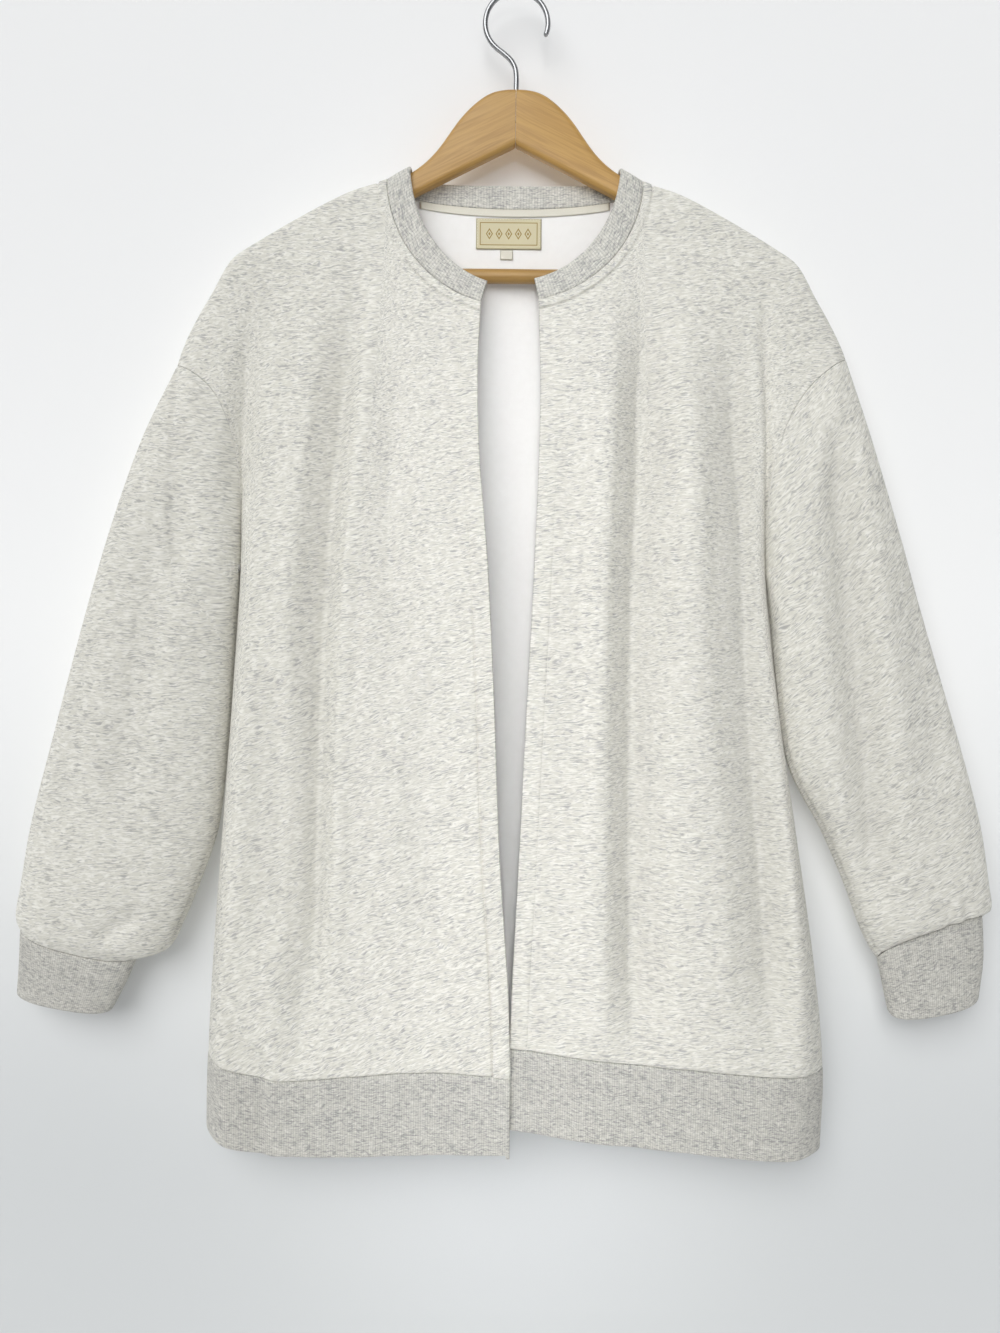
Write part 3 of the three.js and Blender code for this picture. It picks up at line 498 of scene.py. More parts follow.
def neckbandGrid():
    seam, free = neckbandLines()
    length = lengthAlong((seam + free) / 2)
    at = np.linspace(0, length[-1], 4 * round(length[-1] / rib["neckPitch"]) + 1)
    seam, free = pointsAt(seam, length, at), pointsAt(free, length, at)
    steps = bandSteps(rib["neckHeight"], rib["neckStep"])
    return np.stack([lerp(seam, free, share) for share in steps])


# Walls of cloth made from the grids

def gridNormals(grid, closed):
    across = np.roll(grid, -1, axis=1) - np.roll(grid, 1, axis=1) if closed else np.gradient(grid, axis=1)
    normal = np.cross(np.gradient(grid, axis=0), across)
    return normal / np.maximum(np.linalg.norm(normal, axis=2, keepdims=True), 1e-12)


def edgeDistance(grid, closed):
    # how far each point is from each edge of the cloth, along its own row or column
    fromTop = lengthAlong(grid, 0)
    edges = {"top": fromTop, "foot": fromTop[-1] - fromTop}
    if not closed:
        edges["start"] = lengthAlong(grid, 1)
        edges["end"] = edges["start"][:, -1:] - edges["start"]
    return edges


def quadCorners(values):
    # the corners of every square of a grid, in turn
    return np.stack([values[:-1, :-1], values[1:, :-1], values[1:, 1:], values[:-1, 1:]], axis=2)


def meshPiece(name, points, faces, material):
    mesh = bpy.data.meshes.new(name)
    mesh.from_pydata((points * mm).tolist(), [], faces)
    mesh.polygons.foreach_set("use_smooth", np.ones(len(faces), bool))
    mesh.materials.append(material)
    piece = bpy.data.objects.new(name, mesh)
    scene.collection.objects.link(piece)
    return piece


def clothShell(name, grid, thickness, material, outward, pattern, closed=False, raised=0, lined=0, sewn=()):
    # a wall with rounded edges: its outer face, and its inner face the thickness behind it
    # an edge that is sewn flat to its neighbour is rounded only a little
    normal = gridNormals(grid, closed)
    raised, lined = (np.broadcast_to(each, grid.shape[:2]) for each in (raised, lined))
    if (normal * outward).sum() < 0:
        grid, normal, raised, lined = grid[:, ::-1], -normal[:, ::-1], raised[:, ::-1], lined[:, ::-1]
        sewn = [{"start": "end", "end": "start"}[edge] for edge in sewn]
    edges = edgeDistance(grid, closed)
    half = thickness / 2
    full = roundOff(np.minimum.reduce(list(edges.values())) / half)[..., None]
    apart = [distance + (fleece["sewnEdge"] * half if edge in sewn else 0)
             for edge, distance in edges.items()]
    outer = grid + normal * (-half + half * roundOff(np.minimum.reduce(apart) / half)[..., None])
    outer = outer + normal * raised[..., None] * full
    inner = grid + normal * (-half - half * full) - normal * lined[..., None] * full
    rows, columns = grid.shape[:2]
    index = np.arange(rows * columns).reshape(rows, columns)
    within = np.zeros((rows, columns), bool)
    within[1:-1, (slice(None) if closed else slice(1, -1))] = True
    behind = index.copy()
    behind[within] = rows * columns + np.arange(within.sum())
    if closed:
        index, behind = (np.hstack([each, each[:, :1]]) for each in (index, behind))
    faces = np.vstack([quadCorners(index).reshape(-1, 4), quadCorners(behind).reshape(-1, 4)[:, ::-1]])
    points = np.vstack([outer.reshape(-1, 3), inner[within]])
    piece = meshPiece(name, points, faces.tolist(), material)
    layOut(piece, *pattern(grid, edges), closed)
    return piece


def layOut(piece, u, v, closed):
    # the piece's flat pattern as its UV map, in metres, the same on the inside as on the outside
    u, v = np.broadcast_arrays(u, v)
    if closed:
        u = np.hstack([u, 2 * u[:, -1:] - u[:, -2:-1]])
        v = np.hstack([v, v[:, :1]])
    outer = quadCorners(np.stack([u, v], axis=-1)).reshape(-1, 4, 2)
    flat = np.vstack([outer, outer[:, ::-1]]) * mm
    piece.data.uv_layers.new(name="pattern").data.foreach_set("uv", flat.ravel())
    piece.data.update()


def liningFaces(piece, material):
    # the second half of the faces is the inside of the cloth
    piece.data.materials.append(material)
    count = len(piece.data.polygons)
    piece.data.polygons.foreach_set("material_index", (np.arange(count) >= count // 2).astype(np.int32))


# Finishes. The sizes in a pattern are in millimetres, but those of wood and wire are cells to the metre.

colours = {
    "cream": (0.706, 0.692, 0.624), "paleFleck": (0.856, 0.842, 0.785), "greyFleck": (0.330, 0.325, 0.325),
    "ribCream": (0.645, 0.632, 0.580), "ribPale": (0.785, 0.770, 0.715), "ribGrey": (0.280, 0.276, 0.280),
    # the last colour in this row is a painted shade for the hollows of the folds
    "brushed": (0.930, 0.920, 0.903), "brushedLow": (0.914, 0.903, 0.884), "foldShade": (0.420, 0.412, 0.385),
    "tape": (0.800, 0.775, 0.680), "tapeLow": (0.74, 0.71, 0.61),
    "thread": (0.800, 0.790, 0.730), "threadLow": (0.74, 0.72, 0.66),
    "labelGround": (0.640, 0.580, 0.370), "labelLow": (0.58, 0.52, 0.33), "labelGold": (0.300, 0.190, 0.030),
    "wood": (0.495, 0.290, 0.080), "woodLine": (0.345, 0.185, 0.045),
    "steel": (0.230, 0.233, 0.240), "steelLine": (0.48, 0.485, 0.495),
    # the wall's colours paint its shade: darker at its foot, and a little darker at its top
    "wallTop": (0.940, 0.942, 0.944), "wallMiddle": (0.985, 0.988, 0.990), "wallFootShade": (0.690, 0.708, 0.714),
    "floor": (0.760, 0.755, 0.745),
}


def feed(tree, socket, source):
    # a link from another socket, or a plain value
    if isinstance(source, bpy.types.NodeSocket):
        tree.links.new(source, socket)
    else:
        socket.default_value = (*source, 1) if socket.type == "RGBA" else source


def node(tree, kind, inputs=None, **settings):
    made = tree.nodes.new("ShaderNode" + kind)
    for name, value in settings.items():
        setattr(made, name, value)
    for name, source in (inputs or {}).items():
        feed(tree, made.inputs[name], source)
    return made


def maths(tree, operation, a, b=0.0, clamp=False):
    return node(tree, "Math", {0: a, 1: b}, operation=operation, use_clamp=clamp).outputs[0]


def plus(tree, a, b):
    return maths(tree, "ADD", a, b)


def minus(tree, a, b):
    return maths(tree, "SUBTRACT", a, b)


def times(tree, a, b):
    return maths(tree, "MULTIPLY", a, b)


def gap(tree, a, b):
    return maths(tree, "ABSOLUTE", minus(tree, a, b))


def wave(tree, value, length):
    # between 0 and 1, once in each length
    turn = times(tree, value, 2 * math.pi / (length * mm))
    return times(tree, plus(tree, maths(tree, "SINE", turn), 1.0), 0.5)


def mixed(tree, share, a, b, blend="MIX"):
    return node(tree, "Mix", {0: share, 6: a, 7: b}, data_type="RGBA", blend_type=blend).outputs[2]


def ranged(tree, value, low, high, a=0.0, b=1.0):
    inputs = {"Value": value, "From Min": low, "From Max": high, "To Min": a, "To Max": b}
    return node(tree, "MapRange", inputs, clamp=True, interpolation_type="SMOOTHSTEP").outputs[0]


def vectorMaths(tree, operation, a, b):
    return node(tree, "VectorMath", {0: a, 1: b}, operation=operation).outputs[0]


def noise(tree, place, scale, detail, depth=0.0, **inputs):
    # unevenness with this many cells to the metre each way
    cells = node(tree, "Mapping", {"Vector": place, "Location": (0, 0, depth), "Scale": scale}).outputs[0]
    return node(tree, "TexNoise", {"Vector": cells, "Scale": 1.0, "Detail": detail, **inputs}).outputs["Fac"]


def clothNoise(tree, place, cell, detail, depth=0.0, roughness=0.5):
    scale = (1 / (cell[0] * mm), 1 / (cell[1] * mm), 1)
    return noise(tree, place, scale, detail, depth, Roughness=roughness)


def startGroup(name, numbers, outputs):
    # a group that reads a Vector and these numbers, and puts out these values
    group = bpy.data.node_groups.new(name, "ShaderNodeTree")
    group.interface.new_socket(name="Vector", in_out="INPUT", socket_type="NodeSocketVector")
    for label, value in numbers.items():
        socket = group.interface.new_socket(name=label, in_out="INPUT", socket_type="NodeSocketFloat")
        socket.default_value = value
    for label in outputs:
        group.interface.new_socket(name=label, in_out="OUTPUT", socket_type="NodeSocketFloat")
    return group, group.nodes.new("NodeGroupInput").outputs, group.nodes.new("NodeGroupOutput").inputs


flecks = {"long": (8.5, 1.1), "short": (4.2, 0.85), "pale": (6.5, 1.3), "pile": (1.5, 0.7), "patch": (22, 8),
          "patchiness": 0.20, "drift": (20, 8), "drifting": 6, "longShown": (0.53, 0.70),
          "shortShown": (0.55, 0.72), "shortShare": 0.7, "paleShown": (0.42, 0.66)}
foldShading = {"full": 14, "share": 0.22}  # the depth of a fold that has all of the painted shade, and how much of it
# the length of a stitch, and how dark the grooves between the ribs are painted: painted shade
ribLook = {"stitch": 1.3, "groove": 0.80}
twillLength = 0.8
woodLook = {"broad": (9, 40, 40), "lines": (16, 420, 420), "fibres": (34, 1100, 1100), "pale": 1.18}
labelArt = {"border": 3.4, "borderLine": (0.25, 0.40), "step": 7.5, "slope": 0.62, "ring": 2.3,
            "ringLine": (0.35, 0.55), "core": (0.8, 1.0), "rowEnd": (18.2, 18.6), "warp": 0.45, "weft": 0.6,
            "raised": 1.5}


def heatherGroup():
    # thin dark and pale fibres lying across the cloth, thicker in some patches than in others
    group, given, put = startGroup("heather", {"Length": 1.0, "Amount": 0.0}, ["Dark", "Pale", "Height"])
    stretch = node(group, "CombineXYZ", {0: maths(group, "DIVIDE", 1.0, given["Length"]), 1: 1.0, 2: 1.0})
    place = vectorMaths(group, "MULTIPLY", given["Vector"], stretch.outputs[0])
    drift = minus(group, clothNoise(group, place, flecks["drift"], 1, 3.1), 0.5)
    bent = node(group, "CombineXYZ", {1: times(group, drift, flecks["drifting"] * mm)}).outputs[0]
    place = vectorMaths(group, "ADD", place, bent)
    patches = minus(group, clothNoise(group, place, flecks["patch"], 2, 7.7), 0.5)
    shift = plus(group, times(group, patches, flecks["patchiness"]), given["Amount"])
    long = plus(group, clothNoise(group, place, flecks["long"], 2, roughness=0.55), shift)
    short = plus(group, clothNoise(group, place, flecks["short"], 1, 5.3), shift)
    pale = minus(group, clothNoise(group, place, flecks["pale"], 2, 11.9), times(group, shift, 0.5))
    long = ranged(group, long, *flecks["longShown"])
    short = ranged(group, short, *flecks["shortShown"], 0, flecks["shortShare"])
    feed(group, put["Dark"], maths(group, "ADD", long, short, clamp=True))
    feed(group, put["Pale"], ranged(group, pale, *flecks["paleShown"]))
    feed(group, put["Height"], clothNoise(group, given["Vector"], flecks["pile"], 2, 2.2))
    return group


def ribGroup():
    # lengthwise ribs: 0 in a groove and 1 on a rib
    group, given, put = startGroup("ribs", {"Pitch": rib["pitch"] * mm}, ["Ridge", "Stitch"])
    across, down = node(group, "SeparateXYZ", {0: given["Vector"]}).outputs[:2]
    turn = times(group, maths(group, "DIVIDE", across, given["Pitch"]), math.pi)
    feed(group, put["Ridge"], maths(group, "ABSOLUTE", maths(group, "SINE", turn)))
    feed(group, put["Stitch"], wave(group, down, ribLook["stitch"]))
    return group


groups = {"heather": heatherGroup(), "ribs": ribGroup()}


materials = {}


def startMaterial(key, name, roughness, onCloth=True, **sockets):
    # its nodes, and where its pattern lies: on the cloth's own map, or in the object's space
    materials[key] = bpy.data.materials.new(name)
    materials[key].use_nodes = True
    tree = materials[key].node_tree
    for label, value in sockets.items():
        feed(tree, tree.nodes["Principled BSDF"].inputs[label.replace("_", " ")], value)
    feed(tree, tree.nodes["Principled BSDF"].inputs["Roughness"], roughness)
    if onCloth:
        return tree, node(tree, "UVMap", uv_map="pattern").outputs[0]
    return tree, node(tree, "TexCoord").outputs["Object"]


def paint(tree, colour, height=None, strength=0.0, distance=0.0, roughness=None):
    shader = tree.nodes["Principled BSDF"].inputs
    feed(tree, shader["Base Color"], colour)
    if height is not None:
        bump = node(tree, "Bump", {"Height": height, "Strength": strength, "Distance": distance * mm})
        feed(tree, shader["Normal"], bump.outputs[0])
    if roughness is not None:
        feed(tree, shader["Roughness"], roughness)


def heathered(tree, place, length, amount, darkness, cream, pale, grey):
    fibres = node(tree, "Group", {"Vector": place, "Length": length, "Amount": amount},
                  node_tree=groups["heather"]).outputs
    base = mixed(tree, fibres["Pale"], colours[cream], colours[pale])
    return mixed(tree, times(tree, fibres["Dark"], darkness), base, colours[grey]), fibres["Height"]


def fleeceMaterial():
    tree, place = startMaterial("fleece", "heatherFleece", 0.95, Sheen_Weight=0.12, Sheen_Roughness=0.6,
                                Specular_IOR_Level=0.2)
    colour, pile = heathered(tree, place, 1.0, 0.0, 0.70, "cream", "paleFleck", "greyFleck")
    # the colour is painted darker in the hollows of the folds: painted shade
    foldShade = node(tree, "Attribute", attribute_name="foldShade").outputs["Fac"]
    colour = mixed(tree, times(tree, foldShade, foldShading["share"]), colour, colours["foldShade"])
    paint(tree, colour, pile, 0.35, 0.3)


def ribMaterial(key, name, pitch, tone):
    # tone darkens the whole copy of the rib; it is lower for the hem and cuffs than for the neckband, a
    # painted shade
    tree, place = startMaterial(key, name, 0.95, Sheen_Weight=0.1, Sheen_Roughness=0.6,
                                Specular_IOR_Level=0.2)
    colour = heathered(tree, place, 0.62, 0.03, 0.66, "ribCream", "ribPale", "ribGrey")[0]
    ribs = node(tree, "Group", {"Vector": place, "Pitch": pitch * mm}, node_tree=groups["ribs"]).outputs
    # the grooves between the ribs are painted darker: painted shade
    groove = ranged(tree, ribs["Ridge"], 0.0, 0.7, ribLook["groove"] * tone, tone)
    shade = node(tree, "CombineColor", {0: groove, 1: groove, 2: groove}).outputs[0]
    paint(tree, mixed(tree, 1.0, colour, shade, "MULTIPLY"), ribs["Stitch"], 0.2, 0.3)


def brushedMaterial():
    tree, place = startMaterial("brushed", "brushedLining", 1.0, Sheen_Weight=0.2, Sheen_Roughness=0.7,
                                Specular_IOR_Level=0.1)
    soft = clothNoise(tree, place, (6, 7), 4, roughness=0.65)
    fine = clothNoise(tree, place, (0.7, 0.8), 2, 4)
    colour = mixed(tree, ranged(tree, soft, 0.3, 0.7), colours["brushedLow"], colours["brushed"])
    paint(tree, colour, plus(tree, fine, soft), 0.3, 0.4)


def tapeMaterial():
    tree, place = startMaterial("tape", "creamTwill", 0.8, Specular_IOR_Level=0.25)
    across, down = node(tree, "SeparateXYZ", {0: place}).outputs[:2]
    twill = wave(tree, plus(tree, across, down), twillLength)
    paint(tree, mixed(tree, twill, colours["tapeLow"], colours["tape"]), twill, 0.4, 0.2)


def labelMaterial():
    # a satin ground with a plain gold border line and a row of small lozenges
    def fades(value, span):
        return ranged(tree, value, span[0] * mm, span[1] * mm, 1, 0)

    def fine(value, length):
        return maths(tree, "SINE", times(tree, value, 2 * math.pi / (length * mm)))

    tree, place = startMaterial("label", "wovenLabel", 0.42, Sheen_Weight=0.3, Specular_IOR_Level=0.5)
    x, y = node(tree, "SeparateXYZ", {0: place}).outputs[:2]
    halfWide = (labelSize["right"] - labelSize["left"]) / 2 * mm
    halfHigh = (labelSize["top"] - labelSize["foot"]) / 2 * mm
    across, down = gap(tree, x, halfWide), gap(tree, y, halfHigh)
    inset = maths(tree, "MINIMUM", minus(tree, halfWide, across), minus(tree, halfHigh, down))
    border = fades(gap(tree, inset, labelArt["border"] * mm), labelArt["borderLine"])
    share = maths(tree, "FRACT", plus(tree, maths(tree, "DIVIDE", across, labelArt["step"] * mm), 0.5))
    lozenge = plus(tree, times(tree, gap(tree, share, 0.5), labelArt["step"] * mm),
                   times(tree, down, labelArt["slope"]))
    ring = fades(gap(tree, lozenge, labelArt["ring"] * mm), labelArt["ringLine"])
    motif = maths(tree, "MAXIMUM", ring, fades(lozenge, labelArt["core"]))
    gold = maths(tree, "MAXIMUM", border, times(tree, motif, fades(across, labelArt["rowEnd"])))
    weave = times(tree, fine(x, labelArt["warp"]), fine(y, labelArt["weft"]))
    weave = times(tree, plus(tree, weave, 1.0), 0.5)
    ground = mixed(tree, weave, colours["labelLow"], colours["labelGround"])
    raised = plus(tree, weave, times(tree, gold, labelArt["raised"]))
    paint(tree, mixed(tree, gold, ground, colours["labelGold"]), raised, 0.3, 0.15)


def threadMaterial():
    tree, place = startMaterial("thread", "sewingThread", 0.6, False, Sheen_Weight=0.2)
    twist = noise(tree, place, (1500, 1500, 1500), 1)
    paint(tree, mixed(tree, twist, colours["threadLow"], colours["thread"]))


def woodMaterial(key, name, lean, tone):
    # growth lines along the grain, which leans this many degrees from level
    tree, place = startMaterial(key, name, 0.42, False, Coat_Weight=0.08, Coat_Roughness=0.3)
    turned = node(tree, "Mapping", {"Vector": place, "Rotation": (0, math.radians(lean), 0)}).outputs[0]
    broad = noise(tree, turned, woodLook["broad"], 2)
    fibres = noise(tree, turned, woodLook["fibres"], 3, Roughness=0.6)
    lines = noise(tree, turned, woodLook["lines"], 4, Roughness=0.62, Distortion=0.8)
    base, deep = (tuple(tone * value for value in colours[wood]) for wood in ("wood", "woodLine"))
    pale = tuple(woodLook["pale"] * value for value in base)
    colour = mixed(tree, ranged(tree, lines, 0.36, 0.7, 0, 0.8), base, deep)
    colour = mixed(tree, times(tree, ranged(tree, fibres, 0.58, 0.72), 0.35), colour, deep)
    colour = mixed(tree, ranged(tree, broad, 0.35, 0.7, 0, 0.35), colour, pale)
    paint(tree, colour, fibres, 0.12, 0.3, ranged(tree, fibres, 0.3, 0.8, 0.36, 0.52))


def steelMaterial():
    tree, place = startMaterial("steel", "platedWire", 0.24, False, Metallic=1.0)
    drawn = noise(tree, place, (900, 900, 60), 2)
    paint(tree, mixed(tree, drawn, colours["steel"], colours["steelLine"]),
          roughness=ranged(tree, drawn, 0.3, 0.7, 0.18, 0.34))


tape = {"thickness": 0.8, "width": 6, "end": 74, "stand": 0.3, "belowSeam": 0.3}
labelSize = {"left": -30, "right": 21, "top": -166.2, "foot": -190, "lift": 0.5}
tabSize = {"left": -11, "right": -1, "top": -190.4, "foot": -198, "lift": 0.5}

for make in (fleeceMaterial, brushedMaterial, tapeMaterial, labelMaterial, threadMaterial, steelMaterial):
    make()
# a shaded copy of the rib for the hem and cuffs, and a lit one for the neckband: painted shade and light
ribMaterial("rib", "heatherRib", rib["pitch"], 0.90)
ribMaterial("neckRib", "heatherNeckRib", rib["neckPitch"], 1.0)
woodMaterial("woodRight", "varnishedWoodRight", 26, 0.97)
woodMaterial("woodLeft", "varnishedWoodLeft", -26, 1.06)
woodMaterial("woodBar", "varnishedWoodBar", 0, 0.8)
print("finishes made")


# The cut pieces of the cardigan

# Degrees that the cloth's level yarns rise towards +X, at the top of a piece and at its foot
grainLean = {"front right": (1, 23), "front left": (6, 4), "back": (2, -2), "sleeve right": (-3, 4),
             "sleeve left": (42, 22)}
# The turnings of a seam under the cloth, held down by a row of stitching at their edge
seam = {"rise": 0.7, "groove": 1.1, "before": 1.6, "past": 0.3, "stitch": 0.75}
pressing = {"from": -320, "to": -560, "least": 0.3}  # where the facing of a front begins to show


def leaned(u, v, lean):
    # the pattern turned by a lean that changes evenly down the piece
    turn = np.radians(lerp(*lean, (v.max() - v) / (v.max() - v.min())))
    down = v - v.mean()
    return u * np.cos(turn) + down * np.sin(turn), down * np.cos(turn) - u * np.sin(turn)


def panelPattern(grid, lean):
    # along each row the cloth's own length, and down the piece its height
    rise = np.sign(grid[0, -1, 0] - grid[0, 0, 0])
    return levelled(grid, rise * lengthAlong(grid, 1), grid.shape[1] // 2, lean)


def sleevePattern(grid, lean):
    # round the sleeve, level with the floor at the middle of its front
    quarters = (grid.shape[1] // 4, 3 * grid.shape[1] // 4)
    middle = min(quarters, key=lambda column: grid[:, column, 1].mean())
    rise = np.sign(grid[0, middle + 3, 0] - grid[0, middle - 3, 0])
    return levelled(grid, rise * lengthAlong(grid[:, :, :2], 1), middle, lean)


def levelled(grid, u, middle, lean):
    column = slice(middle, middle + 1)
    u = u - u[:, column] + grid[:, column, 0] - grid[0, middle, 0]
    return leaned(u, grid[:, :, 2], lean)


def neckDistance(grid, height):
    # about how far a point lies outside the neck seam
    x = grid[:, :, 0] / shell["neckHalfWidth"]
    z = np.minimum(grid[:, :, 2] - shell["neckSeamTop"], 0) / height
    slope = 2 * np.hypot(x / shell["neckHalfWidth"], z / height)
    return (x ** 2 + z ** 2 - 1) / np.maximum(slope, 1e-9)


def seamStrip(distance, width, groove=seam["groove"]):
    lifted = seam["rise"] * (1 - smoothstep(distance, width - seam["before"], width + seam["past"]))
    return lifted - groove * np.exp(-((distance - width) / seam["stitch"]) ** 2)


def paintFoldShade(piece, where, side):
    # how deep in a fold each point lies, for the shade painted into the cloth's colour there
    points = np.empty(len(piece.data.vertices) * 3)
    piece.data.vertices.foreach_get("co", points)
    points = points.reshape(-1, 3) / mm
    foldShade = np.clip(creaseDepth(where, side["sign"] * points[:, 0], points[:, 2]) / foldShading["full"], 0, 1)
    piece.data.attributes.new("foldShade", "FLOAT", "POINT").data.foreach_set("value", foldShade)


def named(stem, side):
    return stem + side["name"].title()


def makeFleece(name, where, grid, outward, pattern, side=None, **settings):
    piece = clothShell(name, grid, fleece["thickness"], materials["fleece"], outward,
                       lambda grid, edges: pattern(grid, grainLean[where]), **settings)
    if side:
        paintFoldShade(piece, where, side)
    liningFaces(piece, materials["brushed"])
    return piece


def makeFront(side):
    grid = frontGrid(side)
    pressed = lerp(pressing["least"], 1, smoothstep(grid[:, :, 2], pressing["from"], pressing["to"]))
    facing = seamStrip(edgeDistance(grid, False)["start"], fleece["facing"]) * side["facingRelief"] * pressed
    raised = seamStrip(neckDistance(grid, side["neckDepth"]), fleece["turning"]) + facing
    return makeFleece(named("front", side), "front " + side["name"], grid, (0, -1, 0), panelPattern, side,
                      raised=raised, sewn=["end"])


def makeBack():
    grid = backGrid()
    raised = seamStrip(neckDistance(grid, shell["backNeckDrop"]), fleece["turning"])
    return makeFleece("backPanel", "back", grid, (0, 1, 0), panelPattern, raised=raised,
                      sewn=["start", "end"])


def tubeOutward(grid):
    return grid - grid.mean(axis=1, keepdims=True)


def makeSleeve(side):
    # the underarm seam lies along the inner edge
    grid = sleeveGrid(side)
    girth = lengthAlong(grid, 1)
    inner = grid.shape[1] // 2
    fromSeam = girth[:, inner:inner + 1] - girth
    ridge = np.where(fromSeam > -1, seamStrip(np.maximum(fromSeam, 0), fleece["turning"], 1.0), 0)
    return makeFleece(named("sleeve", side), "sleeve " + side["name"], grid, tubeOutward(grid), sleevePattern,
                      side, closed=True, raised=ridge * smoothstep(grid[:, :, 2], *side["underSeam"]))


def makeBand(name, grid, pitch, outward, material, closed=False):
    # four columns to a rib
    columns = np.arange(grid.shape[1])
    relief = rib["depth"] * (np.abs(np.sin(columns * np.pi / 4)) - rib["level"])[None, :]
    bulge = rib["bulge"] * np.sin(np.pi * np.linspace(0, 1, grid.shape[0]))[:, None]
    return clothShell(name, grid, rib["thickness"], material, outward,
                      lambda grid, edges: (columns * pitch / 4, edges["top"].mean(axis=1)[:, None]),
                      closed=closed, raised=relief + bulge, lined=relief)


frontRight, frontLeft = makeFront(rightSide), makeFront(leftSide)
backPanel = makeBack()
print("fronts and back cut")
sleeveRight, sleeveLeft = makeSleeve(rightSide), makeSleeve(leftSide)
cuffs = {}
for side in sides:
    grid = cuffGrid(side)
    cuffs[side["name"]] = makeBand(named("cuff", side), grid, rib["pitch"], tubeOutward(grid),
                                   materials["rib"], True)
hemPoints = hemGrid(frontGrid(rightSide), backGrid(), frontGrid(leftSide))
hemBand = makeBand("hemBand", hemPoints, rib["pitch"], hemPoints * [0, 1, 0], materials["rib"])
neckPoints = neckbandGrid()
neckRib = makeBand("neckRibBand", neckPoints, rib["neckPitch"], neckPoints * [0, 1, 0], materials["neckRib"])
print("sleeves and ribs cut")


# Tape, label and stitching

def liningY(x, z):
    # where the middle of a strip on the inside of the back lies
    right, left = (bodyDepth(side, back, np.abs(x), z) for side in sides)
    return np.where(x < 0, right, left) - fleece["thickness"] - tape["stand"] - tape["thickness"]


def tapeTop(x):
    drop = shell["backNeckDrop"] * np.sqrt(1 - (x / shell["neckHalfWidth"]) ** 2)
    return shell["neckSeamTop"] - drop - tape["belowSeam"]


def makeFlat(name, x, topZ, footZ, rows, material, lift=0):
    # a strip on the inside of the back, with the corners of its foot lifted off it
    share = np.linspace(0, 1, rows)[:, None]
    z = lerp(topZ + 0 * x, footZ, share)
    y = liningY(np.broadcast_to(x, z.shape), z) - lift * share ** 2 * np.linspace(-1, 1, len(x)) ** 2
    grid = np.stack([np.broadcast_to(x, z.shape), y, z], axis=-1)
    return clothShell(name, grid, tape["thickness"], material, (0, -1, 0),
                      lambda grid, edges: (edges["start"], edges["foot"]))


def makePatch(name, size, columns, rows, material):
    x = np.linspace(size["left"], size["right"], columns)
    return makeFlat(name, x, size["top"], size["foot"], rows, material, size["lift"])


tapeX = np.linspace(-tape["end"], tape["end"], 90)
neckTape = makeFlat("neckTapeStrip", tapeX, tapeTop(tapeX), tapeTop(tapeX) - tape["width"], 12,
                    materials["tape"])
wovenLabel = makePatch("wovenLabelPatch", labelSize, 52, 26, materials["label"])
sizeTab = makePatch("sizeTabPatch", tabSize, 12, 10, materials["tape"])

# Each ring of a stitch: how far along it, how thick, and how far out of the cloth
threadRings = np.array([(0, 0.25, -0.28), (0.14, 0.8, -0.08), (0.5, 1, 0), (0.86, 0.8, -0.08),
                        (1, 0.25, -0.28)])
threadSides = 6
bodyStitch = {"length": 2.6, "gap": 0.7, "thickness": 0.42, "sunk": 0.3, "underShoulder": 0.4,
              "belowNeck": 9, "aboveHem": 3}
tapeStitch = {"length": 2.2, "gap": 0.6, "thickness": 0.34, "inset": 1.1, "footInset": 1.0, "sunk": 0.05}
labelStitch = {"length": 1.6, "gap": 0.5, "thickness": 0.3, "inset": 1.2, "endInset": 1, "lift": 0.45}


def makeStitches(name, lines, size):
    # every stitch is a short thread, thinner where it enters the cloth
    share, width, sunk = threadRings.T[:, None, :, None]
    turn = np.arange(threadSides)[:, None] * 2 * np.pi / threadSides
    threads = []
    for line, normal in lines:
        run = lengthAlong(line)
        count = int(run[-1] // (size["length"] + size["gap"]))
        at = (np.arange(count) + 0.5) * run[-1] / count
        start, stop = (pointsAt(line, run, at + shift) for shift in (-size["length"] / 2, size["length"] / 2))
        facing = pointsAt(normal, run, at)
        facing /= np.linalg.norm(facing, axis=1, keepdims=True)
        beside = np.cross(stop - start, facing)
        beside /= np.linalg.norm(beside, axis=1, keepdims=True)
        middle = start[:, None] + (stop - start)[:, None] * share + facing[:, None] * sunk
        around = np.cos(turn) * beside[:, None] + 0.8 * np.sin(turn) * facing[:, None]
        threads.append(middle[:, :, None] + size["thickness"] / 2 * width[..., None] * around[:, None])
    points = np.concatenate(threads).reshape(-1, 3)
    ids = np.arange(len(threadRings) * threadSides).reshape(-1, threadSides)
    beyond = np.roll(ids, -1, axis=1)
    shape = np.stack([ids[:-1], beyond[:-1], beyond[1:], ids[1:]], axis=-1).reshape(-1, 4).tolist()
    shape += [ids[0, ::-1].tolist(), ids[-1].tolist()]
    firsts = range(0, len(points), ids.size)
    faces = [[first + corner for corner in face] for first in firsts for face in shape]
    return meshPiece(name, points, faces, materials["thread"])


def onPanel(side, face, x, z):
    # a line laid on a panel of the body, and the cloth's facing along it
    here = facePoints(side, face, x, z)
    right = facePoints(side, face, x + 0.5, z) - facePoints(side, face, x - 0.5, z)
    up = facePoints(side, face, x, z + 0.5) - facePoints(side, face, x, z - 0.5)
    normal = np.cross(right, up)
    normal *= np.sign(normal[:, 1:2]) * face["sign"]
    normal /= np.linalg.norm(normal, axis=1, keepdims=True)
    return here - normal * bodyStitch["sunk"], normal


